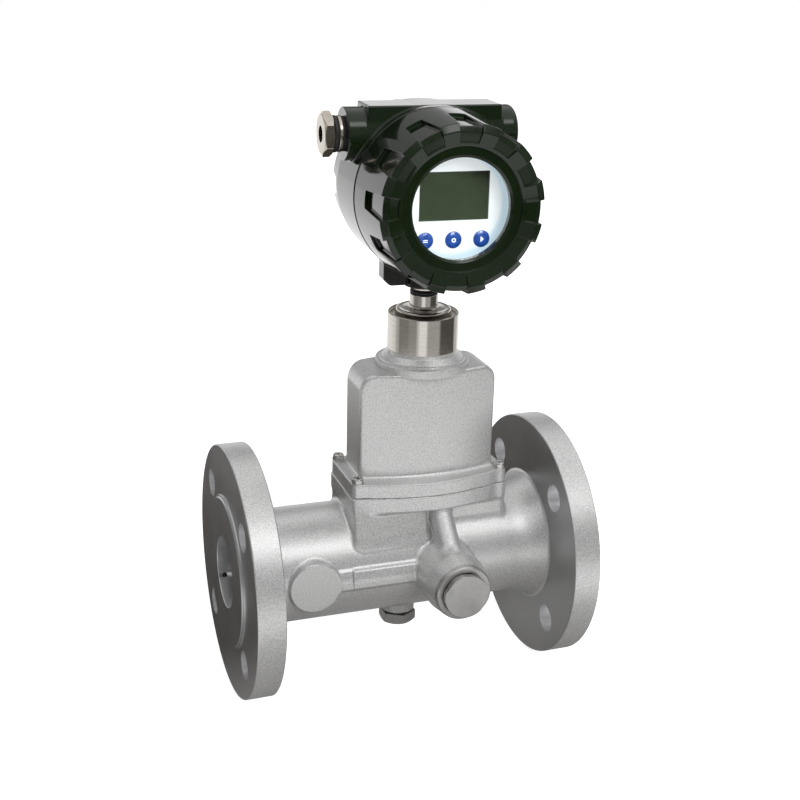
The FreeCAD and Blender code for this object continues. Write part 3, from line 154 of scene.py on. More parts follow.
@dataclass
class Spindle:
    """The axis that a turned piece is swept about.

    Attributes:
        origin: A point on the axis, in millimetres.
        way: Direction in which the distance along the axis grows.
    """

    origin: Triple
    way: Way

    def axes(self) -> tuple[Array, Array, Array]:
        """Directions of the turned piece.

        Returns:
            Unit vectors along the axis, to angle zero and to a quarter turn.
        """
        along = np.array(self.way.value)
        side = np.array([1.0, 0, 0]) if abs(along[0]) < 0.5 else np.array([0, 1.0, 0])
        return along, side, np.cross(along, side)

    def sweep(self, along: Array, radius: Array, angle: Array, loop: bool = False,
              closed: bool = True) -> Surface:
        """Grid of rows down the profile and columns round the axis.

        Args:
            along: Distances along the axis, one row for each profile point, one column for each angle.
            radius: Radii, in the same layout.
            angle: Angles in radians, in the same layout.
            loop: True if the last row joins the first, as in a ring.
            closed: True if the last column joins the first.

        Returns:
            The swept surface, with faces that point outwards for a profile that runs along the axis.
        """
        forward, side, up = self.axes()
        points = (np.array(self.origin) + along[..., None] * forward
                  + (radius * np.cos(angle))[..., None] * side + (radius * np.sin(angle))[..., None] * up)
        rows, columns = along.shape
        index = np.arange(rows * columns).reshape(rows, columns)
        if loop:
            index = np.concatenate([index, index[:1]])
        if closed:
            index = np.concatenate([index, index[:, :1]], axis=1)
        faces = np.stack([index[:-1, :-1], index[:-1, 1:], index[1:, 1:], index[1:, :-1]], -1).reshape(-1, 4)
        return Surface(points.reshape(-1, 3), faces)

    def turn(self, corners: Sequence[tuple], columns: int = 96, loop: bool = False) -> Surface:
        """Piece turned from a rounded profile.

        Args:
            corners: Profile corners, as rounded_profile takes them.
            columns: Faces round the axis.
            loop: True for a ring, whose profile closes on itself.

        Returns:
            The turned surface.
        """
        path = rounded_profile(corners, loop)
        angles = np.linspace(0, 2 * math.pi, columns, endpoint=False)
        along, angle = np.meshgrid(path[:, 0], angles, indexing="ij")
        radius = np.repeat(path[:, 1:], columns, axis=1)
        return self.sweep(along, radius, angle, loop)

    def nut(self, flats: float, face_diameter: float, start: float, end: float, hole: float = 0.0,
            turn_degrees: float = 0.0, both_ends: bool = False, blank: float = 0.0) -> Surface:
        """Hexagon with turned-down faces and softly rounded edges.

        Args:
            flats: Width across flats.
            face_diameter: Diameter of the round face that the turning leaves.
            start: Where the hexagon starts along the axis.
            end: Where its turned face lies.
            hole: Diameter of a hole through it, or zero.
            turn_degrees: Turn of the hexagon about its axis.
            both_ends: True if the start is turned down too.
            blank: Diameter of the round bar that the hexagon is milled from, or zero for full corners.

        Returns:
            The hexagon's surface.
        """
        local = np.radians(np.array([0, 0.6, 1.4, 2.6, 4.5, 9, 15, 21, 27]))
        half_turn = np.concatenate([-local[:0:-1], local])
        angles = np.concatenate([half_turn + math.radians(60 * k + 30) for k in range(6)])
        local_angle = np.tile(half_turn, 6)
        corner = blank / 2 if blank else flats / math.sqrt(3) * 0.992
        edge = np.minimum(flats / 2 / np.cos(np.radians(30) - np.abs(local_angle)), corner)
        face = np.minimum(edge - 0.13, face_diameter / 2)
        drop = np.maximum(edge - face, 0) * math.tan(math.radians(30))
        low_drop = drop if both_ends else np.zeros_like(drop) + 0.25
        low_face = face if both_ends else edge - 0.25
        rows = [(np.full_like(edge, start), np.full_like(edge, hole / 2)),
                (np.full_like(edge, start), low_face), (start + low_drop, edge),
                (start + low_drop + 0.15, edge), (end - drop - 0.15, edge), (end - drop, edge - 0.02),
                (np.full_like(edge, end - 0.05), face + 0.12), (np.full_like(edge, end), face - 0.12),
                (np.full_like(edge, end), np.full_like(edge, hole / 2))]
        along = np.stack([row[0] for row in rows])
        radius = np.stack([row[1] for row in rows])
        angle = np.tile(angles + math.radians(turn_degrees), (len(rows), 1))
        return self.sweep(along, radius, angle, loop=hole > 0)


# Distance fields of the castings


def blend_union(first: Array, second: Array, fillet: float) -> Array:
    """Union of two distance fields with a round fillet where they meet."""
    near, far = np.maximum(fillet - first, 0), np.maximum(fillet - second, 0)
    return np.maximum(fillet, np.minimum(first, second)) - np.sqrt(near**2 + far**2)


def blend_common(first: Array, second: Array, rounding: float) -> Array:
    """Common part of two distance fields with a rounded edge where they meet."""
    near, far = np.maximum(rounding + first, 0), np.maximum(rounding + second, 0)
    return np.minimum(-rounding, np.maximum(first, second)) + np.sqrt(near**2 + far**2)


def brick(p: Array, low: Sequence[float], high: Sequence[float], rounding: float = 0.0) -> Array:
    """Distance to a box.

    Args:
        p: Three coordinate arrays.
        low: Its lowest corner.
        high: Its highest corner.
        rounding: Rounding of its edges.

    Returns:
        The distances.
    """
    middle = (np.array(low) + np.array(high)) / 2
    half = (np.array(high) - np.array(low)) / 2 - rounding
    gap = [np.abs(p[i] - middle[i]) - half[i] for i in range(3)]
    outside = np.sqrt(sum(np.maximum(g, 0) ** 2 for g in gap))
    inside = np.minimum(np.maximum(np.maximum(gap[0], gap[1]), gap[2]), 0)
    return outside + inside - rounding


def bar(p: Array, start: Sequence[float], end: Sequence[float], radius: float,
        rounding: float = 0.0) -> Array:
    """Distance to a round bar.

    Args:
        p: Three coordinate arrays.
        start: Middle of one end.
        end: Middle of the other end.
        radius: Radius of the bar.
        rounding: Rounding of its end edges.

    Returns:
        The distances.
    """
    a = np.array(start, float)
    run = np.array(end, float) - a
    length = float(np.linalg.norm(run))
    run /= length
    rel = [p[i] - a[i] for i in range(3)]
    along = rel[0] * run[0] + rel[1] * run[1] + rel[2] * run[2]
    square = rel[0] ** 2 + rel[1] ** 2 + rel[2] ** 2 - along**2
    across = np.sqrt(np.maximum(square, 0)) - radius + rounding
    beyond = np.abs(along - length / 2) - length / 2 + rounding
    outside = np.sqrt(np.maximum(across, 0) ** 2 + np.maximum(beyond, 0) ** 2)
    return outside + np.minimum(np.maximum(across, beyond), 0) - rounding


def half_space(p: Array, through: Pair, away: Pair,
               axes: tuple[int, int] = (1, 2)) -> Array:
    """Distance beyond a plane that stands on a flat line of two coordinates."""
    length = math.hypot(*away)
    return ((p[axes[0]] - through[0]) * away[0] + (p[axes[1]] - through[1]) * away[1]) / length


def slab(flat: Array, z: Array, low: float, high: float, low_edge: float, high_edge: float) -> Array:
    """Upright prism of a flat distance, with its lower and upper edges rounded."""
    return blend_common(blend_common(flat, low - z, low_edge), z - high, high_edge)


@dataclass(frozen=True)
class BoxPlan:
    """Outline of the wiring box, whose long sides bow outwards between straight lugs.

    Attributes:
        x: X of its middle.
        half_length: Half its length.
        half_width: Half its width at the lugs.
        half_bulge: Half its width in the middle.
        lug: Length of a lug.
        corner: Rounding of its corners.
        lug_fillet: Fillet between a lug and the bow.
    """

    x: float = NECK_X
    half_length: float = 52.9
    half_width: float = 25.2
    half_bulge: float = 34.2
    lug: float = 13.9
    corner: float = 4.0
    lug_fillet: float = 9.0

    def distance(self, p: Array) -> Array:
        """Distance to the outline.

        Args:
            p: Three coordinate arrays.

        Returns:
            The distances, in plan.
        """
        u = np.abs(p[0] - self.x)
        v = np.abs(p[1])
        arc_half = self.half_length - self.lug
        rise = self.half_bulge - self.half_width
        bow = (arc_half**2 + rise**2) / (2 * rise)
        arc = np.sqrt(u**2 + (v + bow - self.half_bulge) ** 2) - bow
        middle = blend_common(arc, u - arc_half - 0.5, 0.3)
        lugs = blend_common(v - self.half_width, u - self.half_length, self.corner)
        return blend_union(middle, lugs, self.lug_fillet)


@dataclass
class Casting:
    """A casting given by a distance field, which is meshed on a grid.

    Attributes:
        low: Lowest corner of the meshed room.
        high: Highest corner of the meshed room.
        step: Grid step of the mesh.
    """

    low: Triple
    high: Triple
    step: float

    def distance(self, p: Array) -> Array:
        """Distance to the skin, negative inside the metal; each casting has its own field."""
        raise NotImplementedError

    def grid_values(self) -> tuple[Array, list[Array]]:
        """Sample the field in slices, which keeps the memory low.

        Returns:
            Field values on the grid, and the grid's three axes.
        """
        axes = [np.arange(a, b + self.step, self.step, dtype=np.float32) for a, b in zip(self.low, self.high)]
        values = np.empty([len(a) for a in axes], np.float32)
        for i in range(0, len(axes[0]), GRID_SLICES):
            block = np.meshgrid(axes[0][i:i + GRID_SLICES], axes[1], axes[2], indexing="ij")
            values[i:i + GRID_SLICES] = self.distance(block)
        return values, axes

    def net(self) -> Surface:
        """Quad mesh of the zero surface, with each point moved onto it along the gradient.

        Returns:
            The mesh, with the field's own directions as normals.
        """
        values, axes = self.grid_values()
        shape = np.array(values.shape)
        strides = np.array([shape[1] * shape[2], shape[2], 1])
        cells: list[Array] = []
        crossings: list[Array] = []
        for axis in range(3):
            first = np.delete(values, -1, axis)
            second = np.delete(values, 0, axis)
            where = np.argwhere((first < 0) != (second < 0))
            other, last = (axis + 1) % 3, (axis + 2) % 3
            inner = (where[:, other] > 0) & (where[:, last] > 0)
            inner &= (where[:, other] < shape[other] - 1) & (where[:, last] < shape[last] - 1)
            where = where[inner]
            a = first[tuple(where.T)]
            b = second[tuple(where.T)]
            point = where.astype(float)
            point[:, axis] += a / (a - b)
            base = where @ strides
            ring = np.stack([base - strides[other] - strides[last], base - strides[last], base,
                             base - strides[other]], 1)
            ring[a >= 0] = ring[a >= 0][:, ::-1]
            cells.append(ring)
            crossings.append(point)
        quads = np.concatenate(cells)
        named, inverse = np.unique(quads.ravel(), return_inverse=True)
        inverse = inverse.reshape(-1)
        weights = np.bincount(inverse, minlength=len(named)).astype(float)
        spread = np.repeat(np.concatenate(crossings), 4, axis=0)
        points = np.stack([np.bincount(inverse, spread[:, i], len(named)) for i in range(3)], 1)
        points = points / weights[:, None] * self.step + np.array([a[0] for a in axes])
        faces = inverse.reshape(-1, 4)
        points, normals = self.settled(points)
        return Surface(points, faces, normals)

    def gradient(self, points: Array) -> Array:
        """Direction in which the field grows.

        Args:
            points: Points in millimetres.

        Returns:
            A unit vector for each point.
        """
        reach = 0.02
        parts = []
        for axis in range(3):
            offset = np.zeros(3)
            offset[axis] = reach
            parts.append(self.distance((points + offset).T) - self.distance((points - offset).T))
        slope = np.stack(parts, 1)
        return slope / np.maximum(np.linalg.norm(slope, axis=1, keepdims=True), 1e-9)

    def settled(self, points: Array) -> tuple[Array, Array]:
        """Move points onto the skin.

        Args:
            points: Points near the skin.

        Returns:
            The moved points, and the skin's direction at each.
        """
        for _ in range(3):
            gap = np.clip(self.distance(points.T), -self.step / 2, self.step / 2)
            points = points - self.gradient(points) * gap[:, None]
        return points, self.gradient(points)


def kept_where(surface: Surface, test: Callable[[Array], Array]) -> Surface:
    """Surface without the faces whose points all fail a test.

    Args:
        surface: The surface.
        test: Tells for an array of points which of them pass.

    Returns:
        The part that is kept.
    """
    passes = test(surface.points)
    faces = surface.faces[passes[surface.faces].any(axis=1)]
    used, inverse = np.unique(faces.ravel(), return_inverse=True)
    normals = None if surface.normals is None else surface.normals[used]
    return Surface(surface.points[used], inverse.reshape(-1, 4), normals)


# From surfaces to finished pieces


class Bench:
    """Makes objects from surfaces and seats them on their bodies."""

    def mesh(self, name: str, surfaces: Iterable[Surface]) -> bpy.types.Mesh:
        """One smooth-shaded mesh of several surfaces.

        Args:
            name: Name of the mesh.
            surfaces: The surfaces, in millimetres.

        Returns:
            The mesh in metres.
        """
        surfaces = list(surfaces)
        points = np.concatenate([s.points for s in surfaces]) * MM
        starts = np.cumsum([0] + [len(s.points) for s in surfaces[:-1]])
        faces = np.concatenate([s.faces + start for s, start in zip(surfaces, starts)])
        made = bpy.data.meshes.new(name)
        made.vertices.add(len(points))
        made.vertices.foreach_set("co", points.astype(np.float32).ravel())
        made.loops.add(faces.size)
        made.loops.foreach_set("vertex_index", faces.astype(np.int32).ravel())
        made.polygons.add(len(faces))
        made.polygons.foreach_set("loop_start", np.arange(0, faces.size, faces.shape[1], dtype=np.int32))
        made.update(calc_edges=True)
        made.validate()
        made.shade_smooth()
        if all(s.normals is not None for s in surfaces):
            normals = np.concatenate([s.normals for s in surfaces])
            made.normals_split_custom_set_from_vertices([tuple(n) for n in normals])
        return made

    def welded(self, name: str, surfaces: Iterable[Surface]) -> Thing:
        """Object of turned surfaces, with poles and seams closed and shading weighted by area.

        Args:
            name: Name of the object.
            surfaces: The surfaces, in millimetres.

        Returns:
            The object.
        """
        thing = self.loose(name, self.mesh(name, surfaces))
        weld = thing.modifiers.new("weld", "WELD")
        weld.merge_threshold = WELD_DISTANCE
        self.bake(thing)
        self.soften(thing)
        return thing

    def loose(self, name: str, mesh: bpy.types.Mesh) -> Thing:
        """New object in the scene, at the origin.

        Args:
            name: Name of the object.
            mesh: Its mesh.

        Returns:
            The object.
        """
        thing = bpy.data.objects.new(name, mesh)
        bpy.context.scene.collection.objects.link(thing)
        return thing

    def bake(self, thing: Thing) -> None:
        """Replace an object's mesh by its evaluated one and drop its modifiers.

        Args:
            thing: The object.
        """
        graph = bpy.context.evaluated_depsgraph_get()
        result = bpy.data.meshes.new_from_object(thing.evaluated_get(graph), depsgraph=graph)
        thing.modifiers.clear()
        old = thing.data
        thing.data = result
        if old.users == 0:
            bpy.data.meshes.remove(old)
        result.name = thing.name

    def soften(self, thing: Thing) -> None:
        """Mark edges over an angle as sharp and weight the normals by face area.

        Args:
            thing: The object.
        """
        thing.data.shade_smooth()
        thing.data.set_sharp_from_angle(angle=math.radians(SHARP_DEGREES))
        weighted = thing.modifiers.new("weighted", "WEIGHTED_NORMAL")
        weighted.keep_sharp = True
        self.bake(thing)

    def cut(self, thing: Thing, cutters: Sequence[Thing]) -> None:
        """Take cutters out of an object exactly, then remove them.

        Args:
            thing: The object.
            cutters: The objects that are taken out of it.
        """
        for cutter in cutters:
            tool = thing.modifiers.new("cut", "BOOLEAN")
            tool.operation = "DIFFERENCE"
            tool.solver = "EXACT"
            tool.object = cutter
        self.bake(thing)
        for cutter in cutters:
            bpy.data.objects.remove(cutter)
        self.soften(thing)

    def seat(self, thing: Thing, body: str, finish: Paint, slot: str, stands_for: Sequence[str]) -> None:
        """Give a piece its finish, its body and the CAD nodes that it stands for.

        Args:
            thing: The finished object.
            body: CAD body that it rides on.
            finish: Its material.
            slot: Material slot of the record; not used.
            stands_for: CAD nodes that it replaces.
        """
        thing.data.materials.clear()
        thing.data.materials.append(finish)
        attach(thing, body)
        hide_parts(*stands_for)
        LOG.info("%s rides on %s with %d faces", thing.name, body, len(thing.data.polygons))


# Castings


@dataclass
class MeterCasting(Casting):
    """Cast middle of the meter body: tube, bosses, wiring gallery and the foot of the wiring box.

    Attributes:
        tube_radius: Radius of the tube.
        flare_start: X where its outlet end starts to widen.
        flare_bow: Radius of the curve along which it widens.
        flanges: X of the flanges' inner faces.
        fillets, hubs: Fillets of the tube on the flanges, and radii of the discs that they run out on.
        ends: X where the casting ends, inside the flanges.
        blind_x, blind_radius, blind_reach: Place, radius and length of the blind boss.
        gallery_top, gallery_step, gallery_low, gallery_front: Outline of the wiring gallery, as heights
            of its roof and of its front's two edges, and the Y of that front.
        lip_front, lip_start: Y of the gallery's thicker length and X where it starts.
        sensor_radius, sensor_reach, sensor_bore, sensor_seat: Sensor boss, its bore and the bore's floor.
        sensor_taper: Distance from the pipe's axis where the boss starts to taper, and by how much.
        drain_radius, drain_reach: Drain boss.
        wire_x, wire_radius: X and radius of the slanted wiring tube.
        wire_top, wire_foot: Y and Z of its two ends.
        plan: Outline of the slab under the hood.
        box_top, slab_low, wall_low: Heights of the slab's top and underside, and of the walls' foot.
        pad_span, pad_foot: X of the pad's two ends, and Y and Z of its foot.
    """

    low: Triple = (15.5, -75.0, -51.0)
    high: Triple = (214.5, 51.0, 53.5)
    step: float = 0.95
    tube_radius: float = 37.5
    flare_start: float = 188.0
    flare_bow: float = 41.6
    flanges: Pair = (19.85, 210.15)
    fillets: Pair = (4.0, 1.5)
    hubs: Pair = (47.0, 49.0)
    ends: Pair = (17.0, 213.0)
    blind_x: float = 49.9
    blind_radius: float = 16.85
    blind_reach: float = 40.0
    gallery_top: float = 8.0
    gallery_step: float = 1.6
    gallery_low: float = -5.0
    gallery_front: float = -39.8
    lip_front: float = -41.0
    lip_start: float = 74.5
    sensor_radius: float = 20.6
    sensor_reach: float = 72.6
    sensor_taper: Pair = (58.0, 2.6)
    sensor_bore: float = 13.5
    sensor_seat: float = 50.0
    drain_radius: float = 11.4
    drain_reach: float = 43.5
    wire_x: float = 137.6
    wire_top: Pair = (-23.0, 38.8)
    wire_foot: Pair = (-52.0, 10.8)
    wire_radius: float = 7.7
    plan: BoxPlan = BoxPlan()
    box_top: float = 51.4
    slab_low: float = 40.6
    wall_low: float = 12.0
    pad_span: Pair = (78.5, 127.8)
    pad_foot: Pair = (-32.6, 18.6)

    def tube(self, p: Array) -> Array:
        """Distance to the round tube that flares towards the outlet flange.

        Args:
            p: Three coordinate arrays.

        Returns:
            The distances.
        """
        run = np.clip(p[0] - self.flare_start, 0, 30)
        fall = np.sqrt(self.flare_bow**2 - run**2)
        radius = self.tube_radius + self.flare_bow - fall
        return (np.sqrt(p[1] ** 2 + p[2] ** 2) - radius) * fall / self.flare_bow

    def ridge(self, p: Array, start: float, front: float, low: float) -> Array:
        """Distance to a length of gallery with a sloped upper band and a flat front.

        Args:
            p: Three coordinate arrays.
            start: X where it starts.
            front: Y of its front.
            low: Z of the front's lower edge.

        Returns:
            The distances.
        """
        step, top = self.gallery_step, self.gallery_top
        face = half_space(p, (front, step), (-1, 0))
        band = half_space(p, (front, step), (-6.4, 2.2))
        roof = half_space(p, (front + 2.2, top), (-2.4, 8.1))
        under = half_space(p, (front, low), (-2.4, -10.3))
        solid = blend_common(blend_common(band, roof, 0.8), blend_common(face, under, 1.2), 0.6)
        ends = np.maximum(np.maximum(start - p[0], p[0] - SENSOR_X), p[1] + 20)
        return blend_common(solid, ends, 1.4)

    def foot(self, p: Array) -> Array:
        """Distance to the walls, bowed slab and drafted pad under the wiring box.

        Args:
            p: Three coordinate arrays.

        Returns:
            The distances.
        """
        x, y, z = p
        plan = self.plan
        half_x, half_y = plan.half_length, plan.half_width
        flat = brick([x - plan.x, y, np.zeros_like(x)], (-half_x, -half_y, -99), (half_x, half_y, 99),
                     plan.corner)
        walls = np.maximum(flat, np.maximum(z - self.box_top - 3, self.wall_low - z))
        top = slab(plan.distance(p), z, self.slab_low, self.box_top + 3, 1.8, 0.5)
        foot_y, foot_z = self.pad_foot
        draft = half_space(p, (foot_y, foot_z), (foot_z - self.box_top, -half_y - foot_y))
        sides = blend_common(self.pad_span[0] - x, foot_z - z, 6.0)
        sides = blend_common(sides, x - self.pad_span[1], 1.5)
        pad = blend_common(blend_common(draft, sides, 2.0), np.maximum(z - self.box_top, y + 8.0), 0.3)
        return blend_common(blend_union(blend_union(walls, pad, 2.0), top, 2.5), z - self.box_top, 0.5)

    def distance(self, p: Array) -> Array:
        """Distance to the skin of the cast middle.

        Args:
            p: Three coordinate arrays.

        Returns:
            The distances.
        """
        x, y, z = p
        blind = bar(p, (self.blind_x, 0, 0), (self.blind_x, -self.blind_reach, 0), self.blind_radius, 1.0)
        reach, seat = self.sensor_reach, (SENSOR_X, -self.sensor_seat, 0)
        sensor = bar(p, (SENSOR_X, 0, 0), (SENSOR_X, -reach, 0), self.sensor_radius, 0.9)
        start, drop = self.sensor_taper
        sensor = sensor + np.clip((-y - start) / (reach - start), 0, 1) * drop
        drain = bar(p, (DRAIN_X, 0, -20), (DRAIN_X, 0, -self.drain_reach), self.drain_radius, 0.7)
        wire = bar(p, (self.wire_x, *self.wire_top), (self.wire_x, *self.wire_foot), self.wire_radius)
        gallery = self.ridge(p, self.blind_x + 12, self.gallery_front, self.gallery_low)
        lip = self.ridge(p, self.lip_start, self.lip_front, self.gallery_low + 0.8)
        skin = blend_union(self.tube(p), self.foot(p), 3.0)
        skin = blend_union(skin, np.minimum(gallery, lip), 1.6)
        skin = blend_union(skin, blend_union(sensor, wire, 3.0), 2.0)
        skin = blend_union(skin, blind, 1.6)
        edge = self.blind_x + self.blind_radius + 0.8
        skin = np.maximum(skin, -brick(p, (0, -99, -60), (edge, -self.blind_reach, 60)))
        skin = blend_union(skin, drain, 2.0)
        skin = blend_common(skin, -bar(p, seat, (SENSOR_X, -reach - 9, 0), self.sensor_bore), 0.4)
        radius = np.sqrt(y**2 + z**2)
        skin = blend_union(skin, np.maximum(x - self.flanges[0], radius - self.hubs[0]), self.fillets[0])
        skin = blend_union(skin, np.maximum(self.flanges[1] - x, radius - self.hubs[1]), self.fillets[1])
        return np.maximum(skin, np.maximum(self.ends[0] - x, x - self.ends[1]))


@dataclass
class HoodCasting(Casting):
    """Hood of the wiring box with its screw flange.

    Attributes:
        plan: Outline of the screw flange.
        flange_span: Heights of the flange's underside and top.
        half: Half length of the shell, and half its width at the ends.
        bulge: Half its width in the middle.
        top: Height of its roof.
        shoulder: Rounding between ends and roof.
        edge: Rounding between sides and the rest.
        foot: Fillet between shell and flange.
    """

    low: Triple = (76.5, -36.5, 49.5)
    high: Triple = (186.5, 36.5, 133.5)
    step: float = 0.78
    plan: BoxPlan = BoxPlan()
    flange_span: Pair = (51.6, 60.9)
    half: Pair = (46.0, 14.5)
    bulge: float = 23.0
    top: float = 131.0
    shoulder: float = 11.0
    edge: float = 1.9
    foot: float = 3.2

    def distance(self, p: Array) -> Array:
        """Distance to the hood's outer skin.

        Args:
            p: Three coordinate arrays.

        Returns:
            The distances.
        """
        x, y, z = p
        half_length, half_width = self.half
        flange = slab(self.plan.distance(p), z, *self.flange_span, 0.5, 1.0)
        ends = blend_common(np.abs(x - NECK_X) - half_length, z - self.top, self.shoulder)
        rise = self.bulge - half_width
        bow = (half_length**2 + rise**2) / (2 * rise)
        sides = np.sqrt((x - NECK_X) ** 2 + (np.abs(y) + bow - self.bulge) ** 2) - bow
        shell = blend_common(sides, ends, self.edge)
        shell = np.maximum(shell, self.flange_span[0] + 2 - z)
        return blend_union(flange, shell, self.foot)


@dataclass
class HeadCasting(Casting):
    """Display housing, drawn on the neck axis with the display towards -Y.

    Attributes:
        z: Height of the barrel's axis.
        barrel_radius: Radius of the barrel.
        barrel_half: Half its length.
        room_radius: Radius of the rooms behind the covers.
        wall: Y of the front and rear face of the wall between the rooms.
        roof: Half length, half width and height of the flat roof.
        arm_z: Height of the axis of the two conduit arms.
        arm_shift: Y of that axis.
        arm_radius: Radius of the arms.
        arm_half: Distance of their ends from the neck axis.
        arm_round: Rounding of the blank arm's end.
        entry_radius: Radius of the gland's hole.
        boss_radius: Radius of the boss on the neck.
        boss_low: Height of its underside.
        lug: X of both ends of the lug beside the boss.
        lug_half: Half its width.
        lug_low: Height of its underside.
        lug_cut: Distance of its sloped corner.
    """

    low: Triple = (-56.0, -23.0, 180.0)
    high: Triple = (56.0, 23.0, 299.0)
    step: float = 0.8
    z: float = HEAD_Z
    barrel_radius: float = 52.2
    barrel_half: float = 20.4
    room_radius: float = 46.1
    wall: Pair = (-10.0, -6.0)
    roof: Triple = (41.8, 13.3, 296.0)
    arm_z: float = 277.8
    arm_shift: float = 1.5
    arm_radius: float = 16.0
    arm_half: float = 53.7
    arm_round: float = 4.0
    entry_radius: float = 10.0
    boss_radius: float = 13.0
    boss_low: float = 182.5
    lug: Pair = (-28.4, -13.0)
    lug_half: float = 6.0
    lug_low: float = 184.2
    lug_cut: float = 4.4

    def distance(self, p: Array) -> Array:
        """Distance to the housing's skin, inside and out.

        Args:
            p: Three coordinate arrays.

        Returns:
            The distances.
        """
        z, half, line = p[2], self.barrel_half, (self.arm_shift, self.arm_z)
        barrel = bar(p, (0, half, self.z), (0, -half, self.z), self.barrel_radius, 0.6)
        roof = brick(p, (-self.roof[0], -self.roof[1], self.z), self.roof, 1.0)
        arm = bar(p, (-self.arm_half, *line), (10, *line), self.arm_radius, 0.6)
        far_arm = bar(p, (-10, *line), (self.arm_half, *line), self.arm_radius, self.arm_round)
        boss = bar(p, (0, 0, self.boss_low), (0, 0, self.z), self.boss_radius, 0.7)
        lug = brick(p, (self.lug[0], -self.lug_half, self.lug_low), (self.lug[1], self.lug_half, self.z), 0.8)
        cut = half_space(p, (self.lug[0] + self.lug_cut, self.lug_low), (-0.9, -1), (0, 2))
        lug = blend_common(lug, cut, 0.8)
        skin = blend_union(barrel, blend_union(roof, np.minimum(arm, far_arm), 1.2), 1.2)
        skin = blend_common(blend_union(skin, blend_union(boss, lug, 1.5), 2.0), z - self.roof[2], 0.8)
        front = bar(p, (0, self.wall[0], self.z), (0, -40, self.z), self.room_radius)
        rear = bar(p, (0, self.wall[1], self.z), (0, 40, self.z), self.room_radius)
        entry = bar(p, (-self.arm_half - 5, *line), (-self.arm_half + 15, *line), self.entry_radius)
        return blend_common(skin, -np.minimum(np.minimum(front, rear), entry), 0.4)


# Screwed covers


@dataclass
class CoverForm:
    """Screwed cover with tapering notches round its rim, drawn on the barrel's axis.

    Attributes:
        land: Closed (distance, radius) profile through a land. Its first three stretches are the outside.
        floor: The same profile through a notch, with as many corners.
        notch_from: Distance at which the notches start.
        notch_to: Radius at which they end on the face.
        widths: Angle in degrees of a notch at its start and at the crest.
        count: Number of notches.
        phase: Angle of the first notch, in degrees.
        z: Height of the axis.
    """

    land: tuple[tuple, ...]
    floor: tuple[tuple, ...]
    notch_from: float
    notch_to: float = 38.5
    widths: Pair = (11.6, 17.0)
    count: int = 12
    phase: float = -3.1
    z: float = HEAD_Z

    # How deep the floor is sunk at each distance into the notch, in millimetres, from 0 to 1
    EDGE: ClassVar[tuple[Pair, ...]] = (
        (-0.4, 0.0), (-0.18, 0.02), (-0.05, 0.08), (0.06, 0.26), (0.16, 0.7), (0.26, 0.91), (0.42, 0.98),
        (0.7, 1.0))

    def extra(self, here: Array, ahead: Array, stretch: int) -> list[float]:
        """Where further rows go, to give the notch its soft ends.

        Args:
            here: Start of the profile stretch.
            ahead: End of the stretch.
            stretch: Zero before the crest and one after it.

        Returns:
            Shares of the stretch, from 0 to 1.
        """
        span = float(np.linalg.norm(ahead - here))
        offsets = [d for d, _ in self.EDGE]
        shares: set[float] = set()
        if here[0] < self.notch_from < ahead[0] and stretch == 0:
            at = (self.notch_from - here[0]) / (ahead[0] - here[0])
            shares |= {at + d / span for d in offsets} | {at + (1 - at) * k / 6 for k in range(1, 6)}
        if here[1] > self.notch_to > ahead[1] and stretch > 0:
            at = (here[1] - self.notch_to) / (here[1] - ahead[1])
            shares |= {at - d / span for d in offsets} | {at * k / 4 for k in range(1, 4)}
        return sorted(s for s in shares if 0.002 < s < 0.998)

    def stations(self) -> tuple[Array, Array, Array]:
        """Rows down the profile.

        Returns:
            Rows of the land and of the notch floor, and how deep each row is sunk, from 0 to 1.
        """
        land = rounded_profile(self.land, loop=True)
        floor = rounded_profile(self.floor, loop=True)
        offsets, levels = (np.array(v) for v in zip(*self.EDGE))
        crest = int(np.argmax(land[:, 0]))
        rows: list[tuple[Array, Array, float]] = []
        for i in range(len(land)):
            j = (i + 1) % len(land)
            outside = land[i][1] > self.notch_to - 3 and i < crest + 8
            for share in [0.0] + (self.extra(land[i], land[j], int(i > crest - 3)) if outside else []):
                here = land[i] + (land[j] - land[i]) * share
                below = floor[i] + (floor[j] - floor[i]) * share
                level = min(np.interp(here[0] - self.notch_from, offsets, levels),
                            np.interp(here[1] - self.notch_to, offsets, levels))
                rows.append((here, below, float(level) if outside else 0.0))
        upper, lower, level = zip(*rows)
        return np.array(upper), np.array(lower), np.array(level)

    def sector(self) -> Surface:
        """One notch with half a land on each side.

        Returns:
            The sector's surface, open at its two cut sides.
        """
        land, floor, row_level = self.stations()
        offsets, levels = (np.array(v) for v in zip(*self.EDGE))
        reach = land[:, 0].max() - self.notch_from
        travel = np.clip((land[:, 0] - self.notch_from) / reach, 0, 1)
        half = np.radians(self.widths[0] + (self.widths[1] - self.widths[0]) * travel) / 2
        half_sector = math.pi / self.count
        side = [half - d / land[:, 1] for d in offsets[::-1]]
        outer = [side[-1] + (half_sector - side[-1]) * k / 3 for k in (1, 2, 3)]
        right = np.stack([side[0] * k / 4 for k in range(4)] + side + outer, 1)
        right_level = np.concatenate([np.ones(4), levels[::-1], np.zeros(3)])
        angle = np.concatenate([-right[:, :0:-1], right], 1)
        column_level = np.concatenate([right_level[:0:-1], right_level])
        sunk = np.minimum(row_level[:, None], column_level[None, :])
        along = land[:, :1] + (floor - land)[:, :1] * sunk
        radius = land[:, 1:] + (floor - land)[:, 1:] * sunk
        spindle = Spindle((0, 0, self.z), Way.FRONT)
        return spindle.sweep(along, radius, angle + math.radians(self.phase), loop=True, closed=False)


# What repeats


